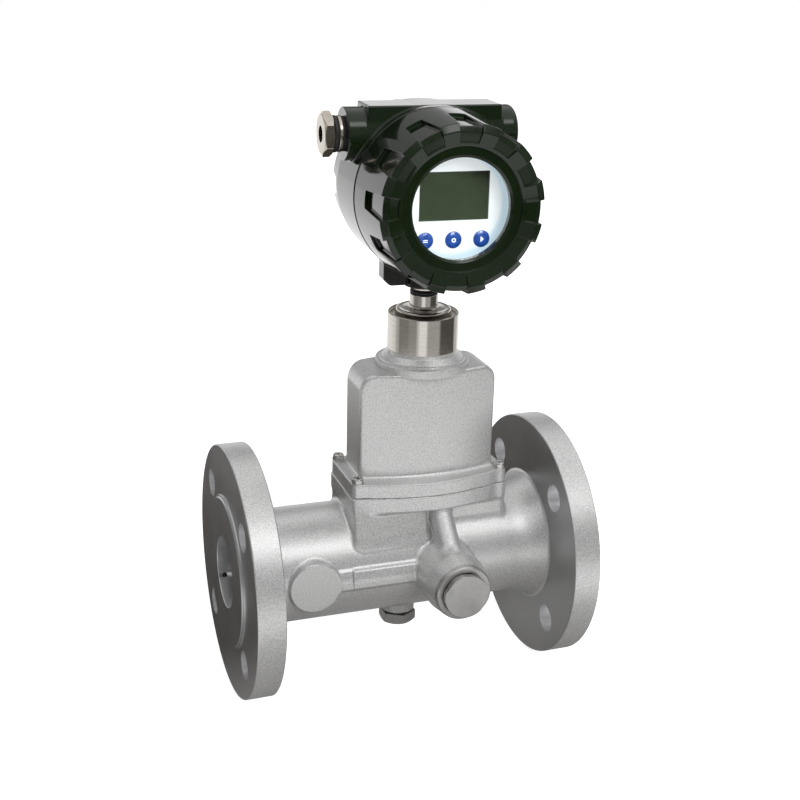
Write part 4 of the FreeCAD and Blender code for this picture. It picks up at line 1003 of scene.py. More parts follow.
class PartTree:
    """Geometry node tree that sets copies of a part out about a centre.

    Attributes:
        tree: The tree.
        given: Its input node, with the named inputs as outputs.
    """

    def __init__(self, name: str, inputs: dict[str, str]) -> None:
        """Start a tree with a geometry, a centre and a finish as inputs.

        Args:
            name: Name of the tree.
            inputs: Its other inputs, as socket types by name.
        """
        self.tree = bpy.data.node_groups.new(name, "GeometryNodeTree")
        for side in ("INPUT", "OUTPUT"):
            self.tree.interface.new_socket("Geometry", in_out=side, socket_type="NodeSocketGeometry")
        shared = {"Centre": "NodeSocketVector", "Finish": "NodeSocketMaterial"}
        for title, kind in {**inputs, **shared}.items():
            self.tree.interface.new_socket(title, in_out="INPUT", socket_type=kind)
        self.given = self.tree.nodes.new("NodeGroupInput")

    def node(self, kind: str, values: dict, **settings: object) -> Socket:
        """Add a node, set it up and link or fill its sockets.

        Args:
            kind: Type of the node.
            values: Socket values by name or number; a socket is linked, and text names a tree input.
            settings: Properties of the node.

        Returns:
            Its first output.
        """
        node = self.tree.nodes.new(kind)
        for key, value in settings.items():
            setattr(node, key, value)
        for key, value in values.items():
            if isinstance(value, str):
                value = self.given.outputs[value]
            if isinstance(value, Socket):
                self.tree.links.new(value, node.inputs[key])
            else:
                node.inputs[key].default_value = value
        return node.outputs[0]

    def set_out(self, points: Socket, turns: Socket, merge: bool) -> None:
        """Finish the tree with one copy of the part on each point.

        Args:
            points: Points about the centre.
            turns: Turn of each copy about the centre or about its own point.
            merge: True if the copies share edges that become one.
        """
        back = self.node("ShaderNodeVectorMath", {0: "Centre", "Scale": -1.0}, operation="SCALE")
        part = self.node("GeometryNodeTransform", {"Geometry": "Geometry", "Translation": back})
        made = self.node("GeometryNodeInstanceOnPoints", {"Points": points, "Instance": part,
                                                          "Rotation": turns})
        made = self.node("GeometryNodeTransform", {"Geometry": made, "Translation": "Centre"})
        made = self.node("GeometryNodeRealizeInstances", {"Geometry": made})
        if merge:
            made = self.node("GeometryNodeMergeByDistance", {"Geometry": made, "Distance": WELD_DISTANCE})
        made = self.node("GeometryNodeSetMaterial", {"Geometry": made, "Material": "Finish"})
        self.tree.links.new(made, self.tree.nodes.new("NodeGroupOutput").inputs[0])


class Repeater:
    """Sets copies of one mesh out with a geometry node tree."""

    def __init__(self, bench: Bench) -> None:
        """Keep the bench that bakes the results."""
        self.bench = bench

    def run(self, thing: Thing, tree: bpy.types.GeometryNodeTree, values: dict) -> None:
        """Evaluate a tree on an object and bake the result.

        Args:
            thing: The object.
            tree: The tree, which is removed afterwards.
            values: Its inputs by name.
        """
        tool = thing.modifiers.new("repeat", "NODES")
        tool.node_group = tree
        for item in tree.interface.items_tree:
            if item.item_type == "SOCKET" and item.in_out == "INPUT" and item.name in values:
                tool[item.identifier] = values[item.name]
        self.bench.bake(thing)
        bpy.data.node_groups.remove(tree)

    def ring(self, thing: Thing, count: int, centre: Sequence[float], way: Way, finish: Paint) -> None:
        """Copies turned evenly about an axis, with their shared edges merged.

        Args:
            thing: Object whose mesh is one sector.
            count: Number of sectors in a full turn.
            centre: Point on the axis, in millimetres.
            way: Direction of the axis.
            finish: Material of the result.
        """
        plan = PartTree("ring_of_sectors", {"Count": "NodeSocketInt", "Axis": "NodeSocketVector"})
        line = plan.node("GeometryNodeMeshLine", {"Count": "Count", "Offset": (0, 0, 0)})
        index = plan.node("GeometryNodeInputIndex", {})
        share = plan.node("ShaderNodeMath", {0: index, 1: "Count"}, operation="DIVIDE")
        angle = plan.node("ShaderNodeMath", {0: share, 1: 2 * math.pi}, operation="MULTIPLY")
        turns = plan.node("FunctionNodeAxisAngleToRotation", {"Axis": "Axis", "Angle": angle})
        plan.set_out(line, turns, merge=True)
        self.run(thing, plan.tree, {"Count": count, "Centre": [c * MM for c in centre],
                                    "Axis": list(way.value), "Finish": finish})

    def rectangle(self, thing: Thing, centre: Sequence[float], span: Sequence[float],
                  finish: Paint, seed: int = 3) -> None:
        """Copies at the four corners of a level rectangle, each turned by a fixed random angle.

        Args:
            thing: Object whose mesh is one part, drawn at the centre.
            centre: Middle of the rectangle, in millimetres.
            span: Full distances between copies along X and Y.
            finish: Material of the result.
            seed: Seed of the turns.
        """
        plan = PartTree("rectangle_of_parts", {"Span X": "NodeSocketFloat", "Span Y": "NodeSocketFloat",
                                               "Seed": "NodeSocketInt"})
        grid = plan.node("GeometryNodeMeshGrid", {"Vertices X": 2, "Vertices Y": 2, "Size X": "Span X",
                                                  "Size Y": "Span Y"})
        turns = plan.node("FunctionNodeRandomValue", {"Max": (0, 0, 2 * math.pi), "Min": (0, 0, 0),
                                                      "Seed": "Seed"}, data_type="FLOAT_VECTOR")
        plan.set_out(grid, turns, merge=False)
        self.run(thing, plan.tree, {"Span X": span[0] * MM, "Span Y": span[1] * MM, "Seed": seed,
                                    "Centre": [c * MM for c in centre], "Finish": finish})


# Places that pieces and finishes share


class Button(Enum):
    """The three buttons, by the distance of each from the head's middle towards its right."""

    LEFT = -17.4
    MIDDLE = 0.0
    RIGHT = 17.4

    def node(self) -> str:
        """Name of the button's CAD node and body."""
        return self.name.lower() + "_button"


@dataclass(frozen=True)
class HeadPlace:
    """Where the head sits: pieces are drawn on the neck axis and then moved there.

    Attributes:
        turn: Turn about the neck in degrees.
        x: X of the neck in millimetres.
    """

    turn: float = -2.9
    x: float = NECK_X

    def matrix(self) -> Matrix:
        """Move in metres for a finished mesh."""
        shift = Matrix.Translation((self.x * MM, 0, 0))
        return shift @ Matrix.Rotation(math.radians(self.turn), 4, "Z")

    def point(self, side: float, front: float, z: float) -> Triple:
        """Point of the head in the part's frame.

        Args:
            side: Distance from the neck axis to the head's right, in millimetres.
            front: Distance from the neck axis to the head's front.
            z: Height.

        Returns:
            The point in millimetres.
        """
        angle = math.radians(self.turn)
        return (self.x + side * math.cos(angle) + front * math.sin(angle),
                side * math.sin(angle) - front * math.cos(angle), z)


# Finishes


class Flow:
    """Shader socket with arithmetic."""

    def __init__(self, kit: "NodeKit", socket: Socket) -> None:
        """Wrap one output socket of a material that is being built."""
        self.kit = kit
        self.socket = socket

    def _maths(self, operation: str, *values: object) -> "Flow":
        """Result of a Math node on up to three values."""
        return self.kit.node("ShaderNodeMath", {"operation": operation}, dict(enumerate(values)))

    def __add__(self, other: object) -> "Flow":
        """Sum."""
        return self._maths("ADD", self, other)

    __radd__ = __add__

    def __mul__(self, other: object) -> "Flow":
        """Product."""
        return self._maths("MULTIPLY", self, other)

    __rmul__ = __mul__

    def __sub__(self, other: object) -> "Flow":
        """Difference."""
        return self._maths("SUBTRACT", self, other)

    def __rsub__(self, other: object) -> "Flow":
        """Difference from a plain number."""
        return self._maths("SUBTRACT", other, self)

    def __neg__(self) -> "Flow":
        """Value with its sign changed."""
        return self._maths("MULTIPLY", self, -1.0)

    def __abs__(self) -> "Flow":
        """Value without its sign."""
        return self._maths("ABSOLUTE", self)

    def most(self, other: object) -> "Flow":
        """Greater of two values."""
        return self._maths("MAXIMUM", self, other)

    def wave(self) -> "Flow":
        """Sine."""
        return self._maths("SINE", self)

    def step(self, low: float, high: float) -> "Flow":
        """Smooth step from one value to another.

        Args:
            low: Value where the step is 0.
            high: Value where it is 1, above or below the first.

        Returns:
            The step.
        """
        if low > high:
            return 1.0 - self.step(high, low)
        return self.kit.node("ShaderNodeMapRange", {"interpolation_type": "SMOOTHSTEP"},
                             {"Value": self, "From Min": low, "From Max": high})

    def between(self, low: object, high: object) -> "Flow":
        """Value that goes from low to high as this one goes from 0 to 1."""
        return self * (high - low) + low

    def tint(self, low: Sequence[float], high: Sequence[float]) -> "Flow":
        """Colour that goes from low to high as this value goes from 0 to 1."""
        return self.kit.mix(self, low, high)


class NodeKit:
    """Adds nodes to a shader tree, with its place split into X, Y and Z."""

    def __init__(self, tree: bpy.types.NodeTree, space: str, scale: float) -> None:
        """Start on a tree.

        Args:
            tree: Node tree of a material or a world.
            space: Output of the Texture Coordinate node that gives the place.
            scale: Factor on the place.
        """
        self.tree = tree
        place = self.tree.nodes.new("ShaderNodeTexCoord")
        self.place = self.node("ShaderNodeVectorMath", {"operation": "SCALE"},
                               {0: place.outputs[space], "Scale": scale})
        split = self.tree.nodes.new("ShaderNodeSeparateXYZ")
        self.tree.links.new(self.place.socket, split.inputs[0])
        self.x, self.y, self.z = (Flow(self, split.outputs[i]) for i in range(3))

    def node(self, kind: str, settings: dict, values: dict, output: int | str = 0) -> Flow:
        """Add a node, set it up and link or fill its sockets.

        Args:
            kind: Type of the node.
            settings: Properties of the node.
            values: Socket values by name or number; a Flow or a socket is linked.
            output: Output to hand back.

        Returns:
            The chosen output.
        """
        node = self.tree.nodes.new(kind)
        for key, value in settings.items():
            setattr(node, key, value)
        for key, value in values.items():
            self.feed(node.inputs[key], value)
        return Flow(self, node.outputs[output])

    def feed(self, socket: Socket, value: object) -> None:
        """Link a value to a socket, or set it there if it is constant.

        Args:
            socket: The socket.
            value: A Flow, a socket or a constant.
        """
        if isinstance(value, Flow):
            self.tree.links.new(value.socket, socket)
        elif isinstance(value, Socket):
            self.tree.links.new(value, socket)
        elif socket.type == "RGBA" and len(value) == 3:
            socket.default_value = (*value, 1.0)
        else:
            socket.default_value = value

    def mix(self, share: object, low: object, high: object) -> Flow:
        """Mix of two colours."""
        return self.node("ShaderNodeMix", {"data_type": "RGBA"}, {0: share, 6: low, 7: high}, 2)

    def noise(self, scale: float, detail: float = 2.0, stretch: Sequence[float] = (1, 1, 1),
              rough: float = 0.5) -> Flow:
        """Noise from 0 to 1.

        Args:
            scale: Features per millimetre.
            detail: Octaves of finer noise.
            stretch: Factors on the place.
            rough: Share of each finer octave.

        Returns:
            The noise.
        """
        place = self.place
        if tuple(stretch) != (1, 1, 1):
            place = self.node("ShaderNodeVectorMath", {"operation": "MULTIPLY"}, {0: place, 1: stretch})
        return self.node("ShaderNodeTexNoise", {}, {"Vector": place, "Scale": scale, "Detail": detail,
                                                    "Roughness": rough})

    def distance_from(self, point: Sequence[float], mask: Sequence[float] = (1, 1, 1)) -> Flow:
        """Distance from a point.

        Args:
            point: The point, in millimetres.
            mask: One for each axis that counts, zero for the others.

        Returns:
            The distance in millimetres.
        """
        offset = self.node("ShaderNodeVectorMath", {"operation": "SUBTRACT"}, {0: self.place, 1: point})
        kept = self.node("ShaderNodeVectorMath", {"operation": "MULTIPLY"}, {0: offset, 1: mask})
        return self.node("ShaderNodeVectorMath", {"operation": "LENGTH"}, {0: kept}, "Value")

    def angle(self, x: Flow, y: Flow) -> Flow:
        """Direction of a level offset in degrees, from +X towards +Y."""
        return self.node("ShaderNodeMath", {"operation": "ARCTAN2"}, {0: y, 1: x}) * (180 / math.pi)

    def ray(self, kind: str) -> Flow:
        """One where the surface is met by a ray of the given kind, and zero elsewhere."""
        return self.node("ShaderNodeLightPath", {}, {}, kind)


class ShaderKit(NodeKit):
    """Builds one procedural material on object coordinates in millimetres."""

    def __init__(self, name: str) -> None:
        """Start a material with a plain shader.

        Args:
            name: Name of the material.
        """
        self.material = bpy.data.materials.new(name)
        self.material.use_nodes = True
        super().__init__(self.material.node_tree, "Object", 1000.0)
        self.shader = self.tree.nodes["Principled BSDF"]
        self.end = self.tree.nodes["Material Output"]

    def surface(self, **values: object) -> None:
        """Set inputs of the plain shader, with spaces in their names as underscores."""
        for key, value in values.items():
            self.feed(self.shader.inputs[key.replace("_", " ")], value)

    def bump(self, height: Flow, strength: float, reach: float) -> None:
        """Bump the surface.

        Args:
            height: Height from 0 to 1.
            strength: Strength of the bump.
            reach: Height of one unit in millimetres.
        """
        normal = self.node("ShaderNodeBump", {}, {"Height": height, "Strength": strength,
                                                  "Distance": reach * MM})
        self.feed(self.shader.inputs["Normal"], normal)


@dataclass(frozen=True)
class Finish:
    """Procedural finish of a plain surface.

    Attributes:
        light: Brighter colour of its mottling.
        dark: Darker colour of its mottling.
        rough: Lowest and highest roughness.
        metal: Metallic share.
        mottle: Scale of the mottling, in features per millimetre.
        grain: Scale of the fine grain.
        grain_height: Height of the grain in millimetres.
        coat: Weight and roughness of a clear coat.
        specular: Specular level of the surface.
        coat_ior: Refractive index of the clear coat.
    """

    light: Triple
    dark: Triple
    rough: Pair
    metal: float = 0.0
    mottle: float = 0.12
    grain: float = 2.4
    grain_height: float = 0.0
    coat: Pair = (0.0, 0.03)
    specular: float = 0.5
    coat_ior: float = 1.5

    def make(self, name: str) -> Paint:
        """Build the material.

        Args:
            name: Name of the material.

        Returns:
            The material.
        """
        kit = ShaderKit(name)
        self.fill(kit)
        return kit.material

    def fill(self, kit: ShaderKit) -> tuple[Flow, Flow]:
        """Build the finish in a kit.

        Args:
            kit: Kit of the material.

        Returns:
            Its mottling and its grain, for marks that are added to it.
        """
        cloud = kit.noise(self.mottle, 4.0)
        grain = kit.noise(self.grain, 3.0, rough=0.6)
        share = (cloud * 0.6 + grain * 0.4).step(0.32, 0.68)
        kit.surface(Base_Color=share.tint(self.dark, self.light),
                    Roughness=(cloud * 0.5 + grain * 0.5).step(0.3, 0.7).between(*self.rough),
                    Metallic=self.metal, Coat_Weight=self.coat[0], Coat_Roughness=self.coat[1],
                    Specular_IOR_Level=self.specular, Coat_IOR=self.coat_ior)
        if self.grain_height:
            kit.bump(grain * 0.8 + kit.noise(self.grain * 0.35, 2.0) * 0.6, 1.0, self.grain_height)
        return cloud, grain


CAST = Finish((0.8, 0.797, 0.79), (0.54, 0.54, 0.54), (0.33, 0.44),
              metal=0.82, mottle=0.05, grain=1.5, grain_height=0.07)
MACHINED = Finish((0.5, 0.495, 0.485), (0.38, 0.375, 0.365), (0.26, 0.36),
                  metal=0.85, mottle=0.08, grain=1.2, grain_height=0.012)
STEEL = Finish((0.66, 0.65, 0.63), (0.52, 0.51, 0.49), (0.12, 0.24),
               metal=1.0, mottle=0.1, grain=1.5, grain_height=0.004)
NICKEL = Finish((0.68, 0.62, 0.54), (0.54, 0.49, 0.42), (0.12, 0.2),
                metal=1.0, mottle=0.2, grain=1.5, grain_height=0.002)
ENAMEL = Finish((0.0048, 0.0105, 0.0034), (0.0036, 0.0082, 0.0026), (0.12, 0.18),
                mottle=0.06, grain=0.6, grain_height=0.005, coat=(1.0, 0.02), specular=0.3, coat_ior=1.3)
RUBBER = Finish((0.018, 0.018, 0.019), (0.01, 0.01, 0.011), (0.45, 0.6),
                mottle=0.3, grain=2.0, grain_height=0.02)
PANEL = Finish((0.8, 0.83, 0.86), (0.76, 0.79, 0.83), (0.4, 0.48))
PLASTIC = Finish((0.12, 0.3, 0.12), (0.1, 0.26, 0.1), (0.4, 0.5))
BRASS = Finish((0.75, 0.55, 0.25), (0.62, 0.44, 0.2), (0.22, 0.35), metal=1.0)
BOARD = Finish((0.03, 0.16, 0.07), (0.02, 0.12, 0.05), (0.35, 0.45), coat=(0.3, 0.2))


class Paints:
    """Every material of the meter, each made once."""

    def __init__(self) -> None:
        """Build the plain finishes and the ones with marks of their own."""
        self.cast = self.blasted()
        self.flange = self.flange_metal()
        self.machined = MACHINED.make("machined_aluminium")
        self.steel = STEEL.make("bright_steel")
        self.nickel = NICKEL.make("plated_nickel")
        self.enamel = ENAMEL.make("green_enamel")
        self.rubber = RUBBER.make("black_rubber")
        self.panel = self.glowing_panel()
        self.plastic = PLASTIC.make("green_plastic")
        self.brass = BRASS.make("post_brass")
        self.board = self.circuit_board()
        self.glass = self.window_glass()
        self.lcd = self.display_face()
        self.buttons = {button: self.button_cap(button) for button in Button}
        self.stainless = self.turned_stainless()

    def blast(self, kit: ShaderKit, grain: Flow) -> tuple[Flow, Flow]:
        """Coarse speckle that sand-blasting leaves, and from it the share of the lighter colour."""
        speckle = kit.noise(1.1, 1.0, rough=0.8)
        return speckle, (grain * 0.5 + speckle * 0.5).step(0.36, 0.64)

    def blasted(self) -> Paint:
        """Sand-blasted casting: an even speckle of fine pits over a faint mottling.

        Returns:
            The material.
        """
        kit = ShaderKit("blasted_aluminium")
        _, grain = CAST.fill(kit)
        _, share = self.blast(kit, grain)
        kit.surface(Base_Color=share.tint(CAST.dark, CAST.light), Roughness=share.between(*CAST.rough))
        return kit.material

    def flange_metal(self) -> Paint:
        """Blasted rims, finely turned faces, and bright walls in the bore and the bolt holes.

        Returns:
            The material.
        """
        kit = ShaderKit("flange_aluminium")
        cloud, grain = CAST.fill(kit)
        speckle, share = self.blast(kit, grain)
        radius = kit.distance_from((0, 0, 0), (0, 1, 1))
        hole = kit.node("ShaderNodeCombineXYZ", {}, {0: abs(kit.y) - BOLT_OFFSET,
                                                     1: abs(kit.z) - BOLT_OFFSET})
        reach = kit.node("ShaderNodeVectorMath", {"operation": "LENGTH"}, {0: hole}, "Value")
        rim = radius.step(FLANGE_RADIUS - 0.4, FLANGE_RADIUS - 0.05)
        in_hole = reach.step(BOLT_HOLE_RADIUS + 0.2, BOLT_HOLE_RADIUS + 0.05)
        bright = in_hole.most(radius.step(BORE_RADIUS + 0.25, BORE_RADIUS + 0.1))
        rings = kit.node("ShaderNodeTexNoise", {"noise_dimensions": "1D"},
                         {"W": radius, "Scale": 2.2, "Detail": 2.0})
        turned = (rings * 0.5 + cloud * 0.3 + grain * 0.2).step(0.35, 0.65)
        face = turned.tint((0.42, 0.42, 0.42), (0.5, 0.5, 0.5))
        face = kit.mix(bright, face, (0.95, 0.95, 0.96))
        smooth = bright.between(turned.between(0.28, 0.36), 0.33)
        kit.surface(Base_Color=kit.mix(rim, face, share.tint(CAST.dark, CAST.light)),
                    Metallic=rim.between(0.9, CAST.metal),
                    Roughness=rim.between(smooth, share.between(*CAST.rough)))
        height = rim.between(rings * (1 - bright) * 0.15, grain * 0.8 + speckle * 0.6)
        kit.bump(height, 1.0, CAST.grain_height)
        return kit.material

    def turned_stainless(self) -> Paint:
        """Turned and polished stainless steel with faint rings round the neck.

        Returns:
            The material.
        """
        kit = ShaderKit("turned_stainless")
        cloud, _ = STEEL.fill(kit)
        rings = kit.noise(5.0, 2.0, stretch=(0.02, 0.02, 1.0))
        kit.surface(Base_Color=rings.step(0.3, 0.7).tint((0.6, 0.565, 0.51), (0.7, 0.67, 0.62)),
                    Roughness=(rings * 0.7 + cloud * 0.3).between(0.05, 0.15))
        kit.bump(rings, 0.4, 0.006)
        return kit.material

    def glowing_panel(self) -> Paint:
        """White panel that glows with painted light and is darker and bluer towards its edge.

        Returns:
            The material.
        """
        kit = ShaderKit("white_panel")
        PANEL.fill(kit)
        reach = kit.distance_from(HeadPlace().point(0, 50, HEAD_Z))
        edge = reach.step(27.5, 31.0)
        # Painted light: the panel's even glow stands in for the key light that the cover's rim shades off it.
        # Base and glow both turn darker and bluer towards the edge.
        kit.surface(Base_Color=edge.tint((0.23, 0.245, 0.255), (0.16, 0.2, 0.23)),
                    Emission_Color=edge.tint((0.93, 0.98, 1.0), (0.66, 0.82, 0.94)),
                    Emission_Strength=0.66)
        return kit.material

    def window_glass(self) -> Paint:
        """Clear toughened glass that lets light and shadow rays through.

        Returns:
            The material.
        """
        kit = ShaderKit("clear_glass")
        smear = kit.noise(0.08, 3.0)
        kit.surface(Base_Color=(0.97, 0.985, 0.98), Roughness=smear.step(0.4, 0.7) * 0.02,
                    Transmission_Weight=1.0, IOR=1.45)
        shadow = kit.ray("Is Shadow Ray")
        clear = kit.node("ShaderNodeBsdfTransparent", {}, {"Color": (0.94, 0.96, 0.95, 1.0)})
        mixed = kit.node("ShaderNodeMixShader", {}, {0: shadow, 1: kit.shader.outputs[0], 2: clear})
        kit.feed(kit.end.inputs["Surface"], mixed)
        return kit.material

    def display_face(self) -> Paint:
        """Dark olive liquid-crystal face with its faint cells.

        Returns:
            The material.
        """
        kit = ShaderKit("lcd_face")
        cells = (kit.x * 7.0).wave() * 0.5 + (kit.z * 7.0).wave() * 0.5
        shade = kit.noise(0.05, 2.0)
        share = shade * 0.8 + cells * 0.05 + 0.1
        kit.surface(Base_Color=share.tint((0.015, 0.022, 0.011), (0.024, 0.035, 0.017)),
                    Roughness=shade.between(0.2, 0.3), Coat_Weight=0.2, Coat_Roughness=0.04)
        return kit.material

    def button_cap(self, button: Button) -> Paint:
        """Blue cap with a plain white sign: bars on the left, a ring in the middle, a wedge on the right.

        Args:
            button: The button.

        Returns:
            The material.
        """
        kit = ShaderKit(button.node() + "_blue")
        cloud = kit.noise(0.4, 2.0)
        centre = HeadPlace().point(button.value, 51, BUTTON_Z)
        across = kit.x - centre[0]
        up = kit.z - centre[2]
        if button is Button.LEFT:
            sign = abs(across).step(1.5, 1.3) * abs(abs(up) - 0.5).step(0.3, 0.2)
        elif button is Button.MIDDLE:
            sign = abs(kit.distance_from(centre, (1, 0, 1)) - 1.0).step(0.38, 0.24)
        else:
            sign = (abs(up) + across * 0.9).step(1.15, 0.95) * across.step(-0.9, -0.75)
        skin = cloud.tint((0.006, 0.034, 0.18), (0.009, 0.044, 0.22))
        kit.surface(Base_Color=kit.mix(sign, skin, (0.75, 0.8, 0.9)), Roughness=cloud.between(0.2, 0.28),
                    Coat_Weight=0.15, Coat_Roughness=0.1)
        return kit.material

    def circuit_board(self) -> Paint:
        """Green board with pale tracks.

        Returns:
            The material.
        """
        kit = ShaderKit("circuit_board")
        BOARD.fill(kit)
        tracks = abs((kit.x * 1.3).wave()).step(0.12, 0.05) * kit.noise(0.2, 1.0).step(0.45, 0.5)
        kit.surface(Base_Color=tracks.tint((0.02, 0.13, 0.06), (0.1, 0.3, 0.14)))
        return kit.material


# The meter


def socket_head(centre: Sequence[float], radius: float, height: float, flats: float, depth: float) -> Surface:
    """Round screw head with a hexagon socket, standing on a point.

    Args:
        centre: Middle of its underside, in millimetres.
        radius: Radius of the head.
        height: Height of the head.
        flats: Width of the socket across flats.
        depth: Depth of the socket.

    Returns:
        The head's surface, closed below.
    """
    in_sector = (0, 8, 16, 24, 29.5, 30.5, 36, 44, 52)
    angle = np.radians(np.array([d + 60 * k for k in range(6) for d in in_sector]))
    local = np.abs((angle + math.radians(30)) % math.radians(60) - math.radians(30))
    hexagon = flats / 2 / np.cos(local)
    plain = np.ones_like(angle)
    edge = 1.0
    rows = [(0, 0 * plain), (0, radius * plain), (height - edge, radius * plain)]
    rows += [(height - edge + edge * math.sin(a), (radius - edge + edge * math.cos(a)) * plain)
             for a in (0.4, 0.8, 1.2, 1.57)]
    rows += [(height, hexagon + 0.35), (height - 0.25, hexagon), (height - depth, hexagon),
             (height - depth - 0.4, 0 * plain)]
    along = np.stack([np.full_like(angle, row[0]) for row in rows])
    reach = np.stack([row[1] for row in rows])
    return Spindle(tuple(centre), Way.UP).sweep(along, reach, np.tile(angle, (len(rows), 1)))


@dataclass
class Meter:
    """All the shown pieces of the meter that stand for CAD nodes.

    Attributes:
        bench: Bench that makes and seats the pieces.
        repeater: What sets repeated parts out.
        paints: The materials.
        hidden_radius: Radius inside which the casting's ends lie in the turned piece and aren't needed.
        washer_low: Height of the hood flange's top, where the washers lie.
        washer_height: Thickness of a washer.
        screw_span: Distances between the hood's screws along X and Y.
        pipe: Axis of the pipe.
        sensor: Axis of the sensor boss.
        drain: Axis of the drain boss.
        neck: Axis of the neck.
        head: Place of the head.
    """

    bench: Bench
    repeater: Repeater
    paints: Paints
    hidden_radius: float = 35.9
    washer_low: float = 60.85
    washer_height: float = 0.85
    screw_span: Pair = (97.8, 42.4)
    pipe: Spindle = field(default_factory=lambda: Spindle((0, 0, 0), Way.RIGHT))
    sensor: Spindle = field(default_factory=lambda: Spindle((SENSOR_X, 0, 0), Way.FRONT))
    drain: Spindle = field(default_factory=lambda: Spindle((DRAIN_X, 0, 0), Way.DOWN))
    neck: Spindle = field(default_factory=lambda: Spindle((NECK_X, 0, 0), Way.UP))
    head: HeadPlace = field(default_factory=HeadPlace)

    def build(self) -> None:
        """Make every piece."""
        self.flanges()
        self.cast_middle()
        self.sensor_and_drain()
        self.hood()
        self.neck_parts()
        self.housing()
        self.covers()
        self.gland()
        self.buttons()

    def head_piece(self, thing: Thing) -> Thing:
        """Move a piece drawn on the neck axis to the head's place, in its mesh."""
        thing.data.transform(self.head.matrix())
        return thing

    def flanges(self) -> None:
        """Both flanges and the bore, turned in one profile, with their bolt holes."""
        bore = BORE_RADIUS
        profile = [(0, bore, 0.3), (0, 47.9, 0.2), (0.9, 48.9, 0.3), (0.9, 49.6, 0.2), (2, 50.0, 0.4),
                   (2, FLANGE_RADIUS, 0.9), (20, FLANGE_RADIUS, 0.9), (20, 36.4), (210, 36.4),
                   (210, FLANGE_RADIUS, 0.9), (228, FLANGE_RADIUS, 0.9), (228, 50.0, 0.4),
                   (229.1, 49.6, 0.2), (229.1, 48.9, 0.3), (230, 47.9, 0.2), (230, bore, 0.3), (216, bore),
                   (189, 21.3), (160, 21.3), (128, 16.0), (78, 16.0), (54, 21.3), (53, bore),
                   (14.05, bore), (14.05, 24.6), (12.5, 24.6), (12.5, bore)]
        body = self.bench.welded("turned_flanges", [self.pipe.turn(profile, 216, loop=True)])
        drill = [(0, 0), (0, BOLT_HOLE_RADIUS), (24, BOLT_HOLE_RADIUS), (24, 0)]
        cutters = []
        for y, z in ((1, 1), (-1, 1), (-1, -1), (1, -1)):
            for start in (-2, 208):
                hole = Spindle((start, y * BOLT_OFFSET, z * BOLT_OFFSET), Way.RIGHT).turn(drill, 64)
                cutters.append(self.bench.welded("hole", [hole]))
        tap = Spindle((4.1, 19.0, -13.1), Way.BACK).turn([(0, 0), (0, 1.8), (8, 1.8), (8, 0)], 24)
        cutters.append(self.bench.welded("hole", [tap]))
        self.bench.cut(body, cutters)
        self.bench.seat(body, "meter", self.paints.flange, "cast_body", ["meter_body"])

    def cast_middle(self) -> None:
        """Casting between the flanges, closed inside the wall of the turned piece."""
        casting = MeterCasting()
        start, end = casting.ends
        kept = kept_where(casting.net(), lambda points: ~(
            ((points[:, 0] < start + 0.3) | (points[:, 0] > end - 0.3))
            & (np.hypot(points[:, 1], points[:, 2]) < self.hidden_radius)))
        body = self.bench.loose("cast_middle", self.bench.mesh("cast_middle", [kept]))
        self.bench.seat(body, "meter", self.paints.cast, "cast_body", ["meter_body"])

    def sensor_and_drain(self) -> None:
        """Hexagon plugs with their seals and the machined end of the sensor boss."""
        seat, turn, make = self.bench.seat, self.sensor.turn, self.bench.welded
        rim = turn([(69.5, 17.0), (69.5, 18.7), (72.0, 18.15, 0.2), (72.65, 17.5, 0.3), (72.65, 14.4, 0.3),
                    (71.4, 13.6), (69.5, 13.6)], 120, loop=True)
        seat(make("sensor_boss_rim", [rim]), "meter", self.paints.machined, "cast_body", ["meter_body"])
        seal = turn([(72.55, 12.4), (72.55, 13.7, 0.4), (73.8, 13.7, 0.4), (73.8, 12.4)], 96, loop=True)
        seat(make("sensor_gasket", [seal]), "meter", self.paints.rubber, "black_rubber", ["sensor_plug_seal"])
        plug = self.sensor.nut(28.4, 28.1, 73.8, 77.6, turn_degrees=25.0, blank=29.4)
        seat(make("sensor_hexagon", [plug]), "meter", self.paints.machined, "plug_metal", ["sensor_plug"])
        ring = self.drain.turn([(43.5, 8.0), (43.5, 10.5, 0.5), (44.7, 10.5, 0.5), (44.7, 8.0)], 72,
                               loop=True)
        seat(make("drain_gasket", [ring]), "meter", self.paints.rubber, "black_rubber", ["drain_plug_seal"])
        plug = self.drain.nut(22.0, 21.0, 44.7, 52.0)
        seat(make("drain_hexagon", [plug]), "meter", self.paints.machined, "plug_metal", ["drain_plug"])

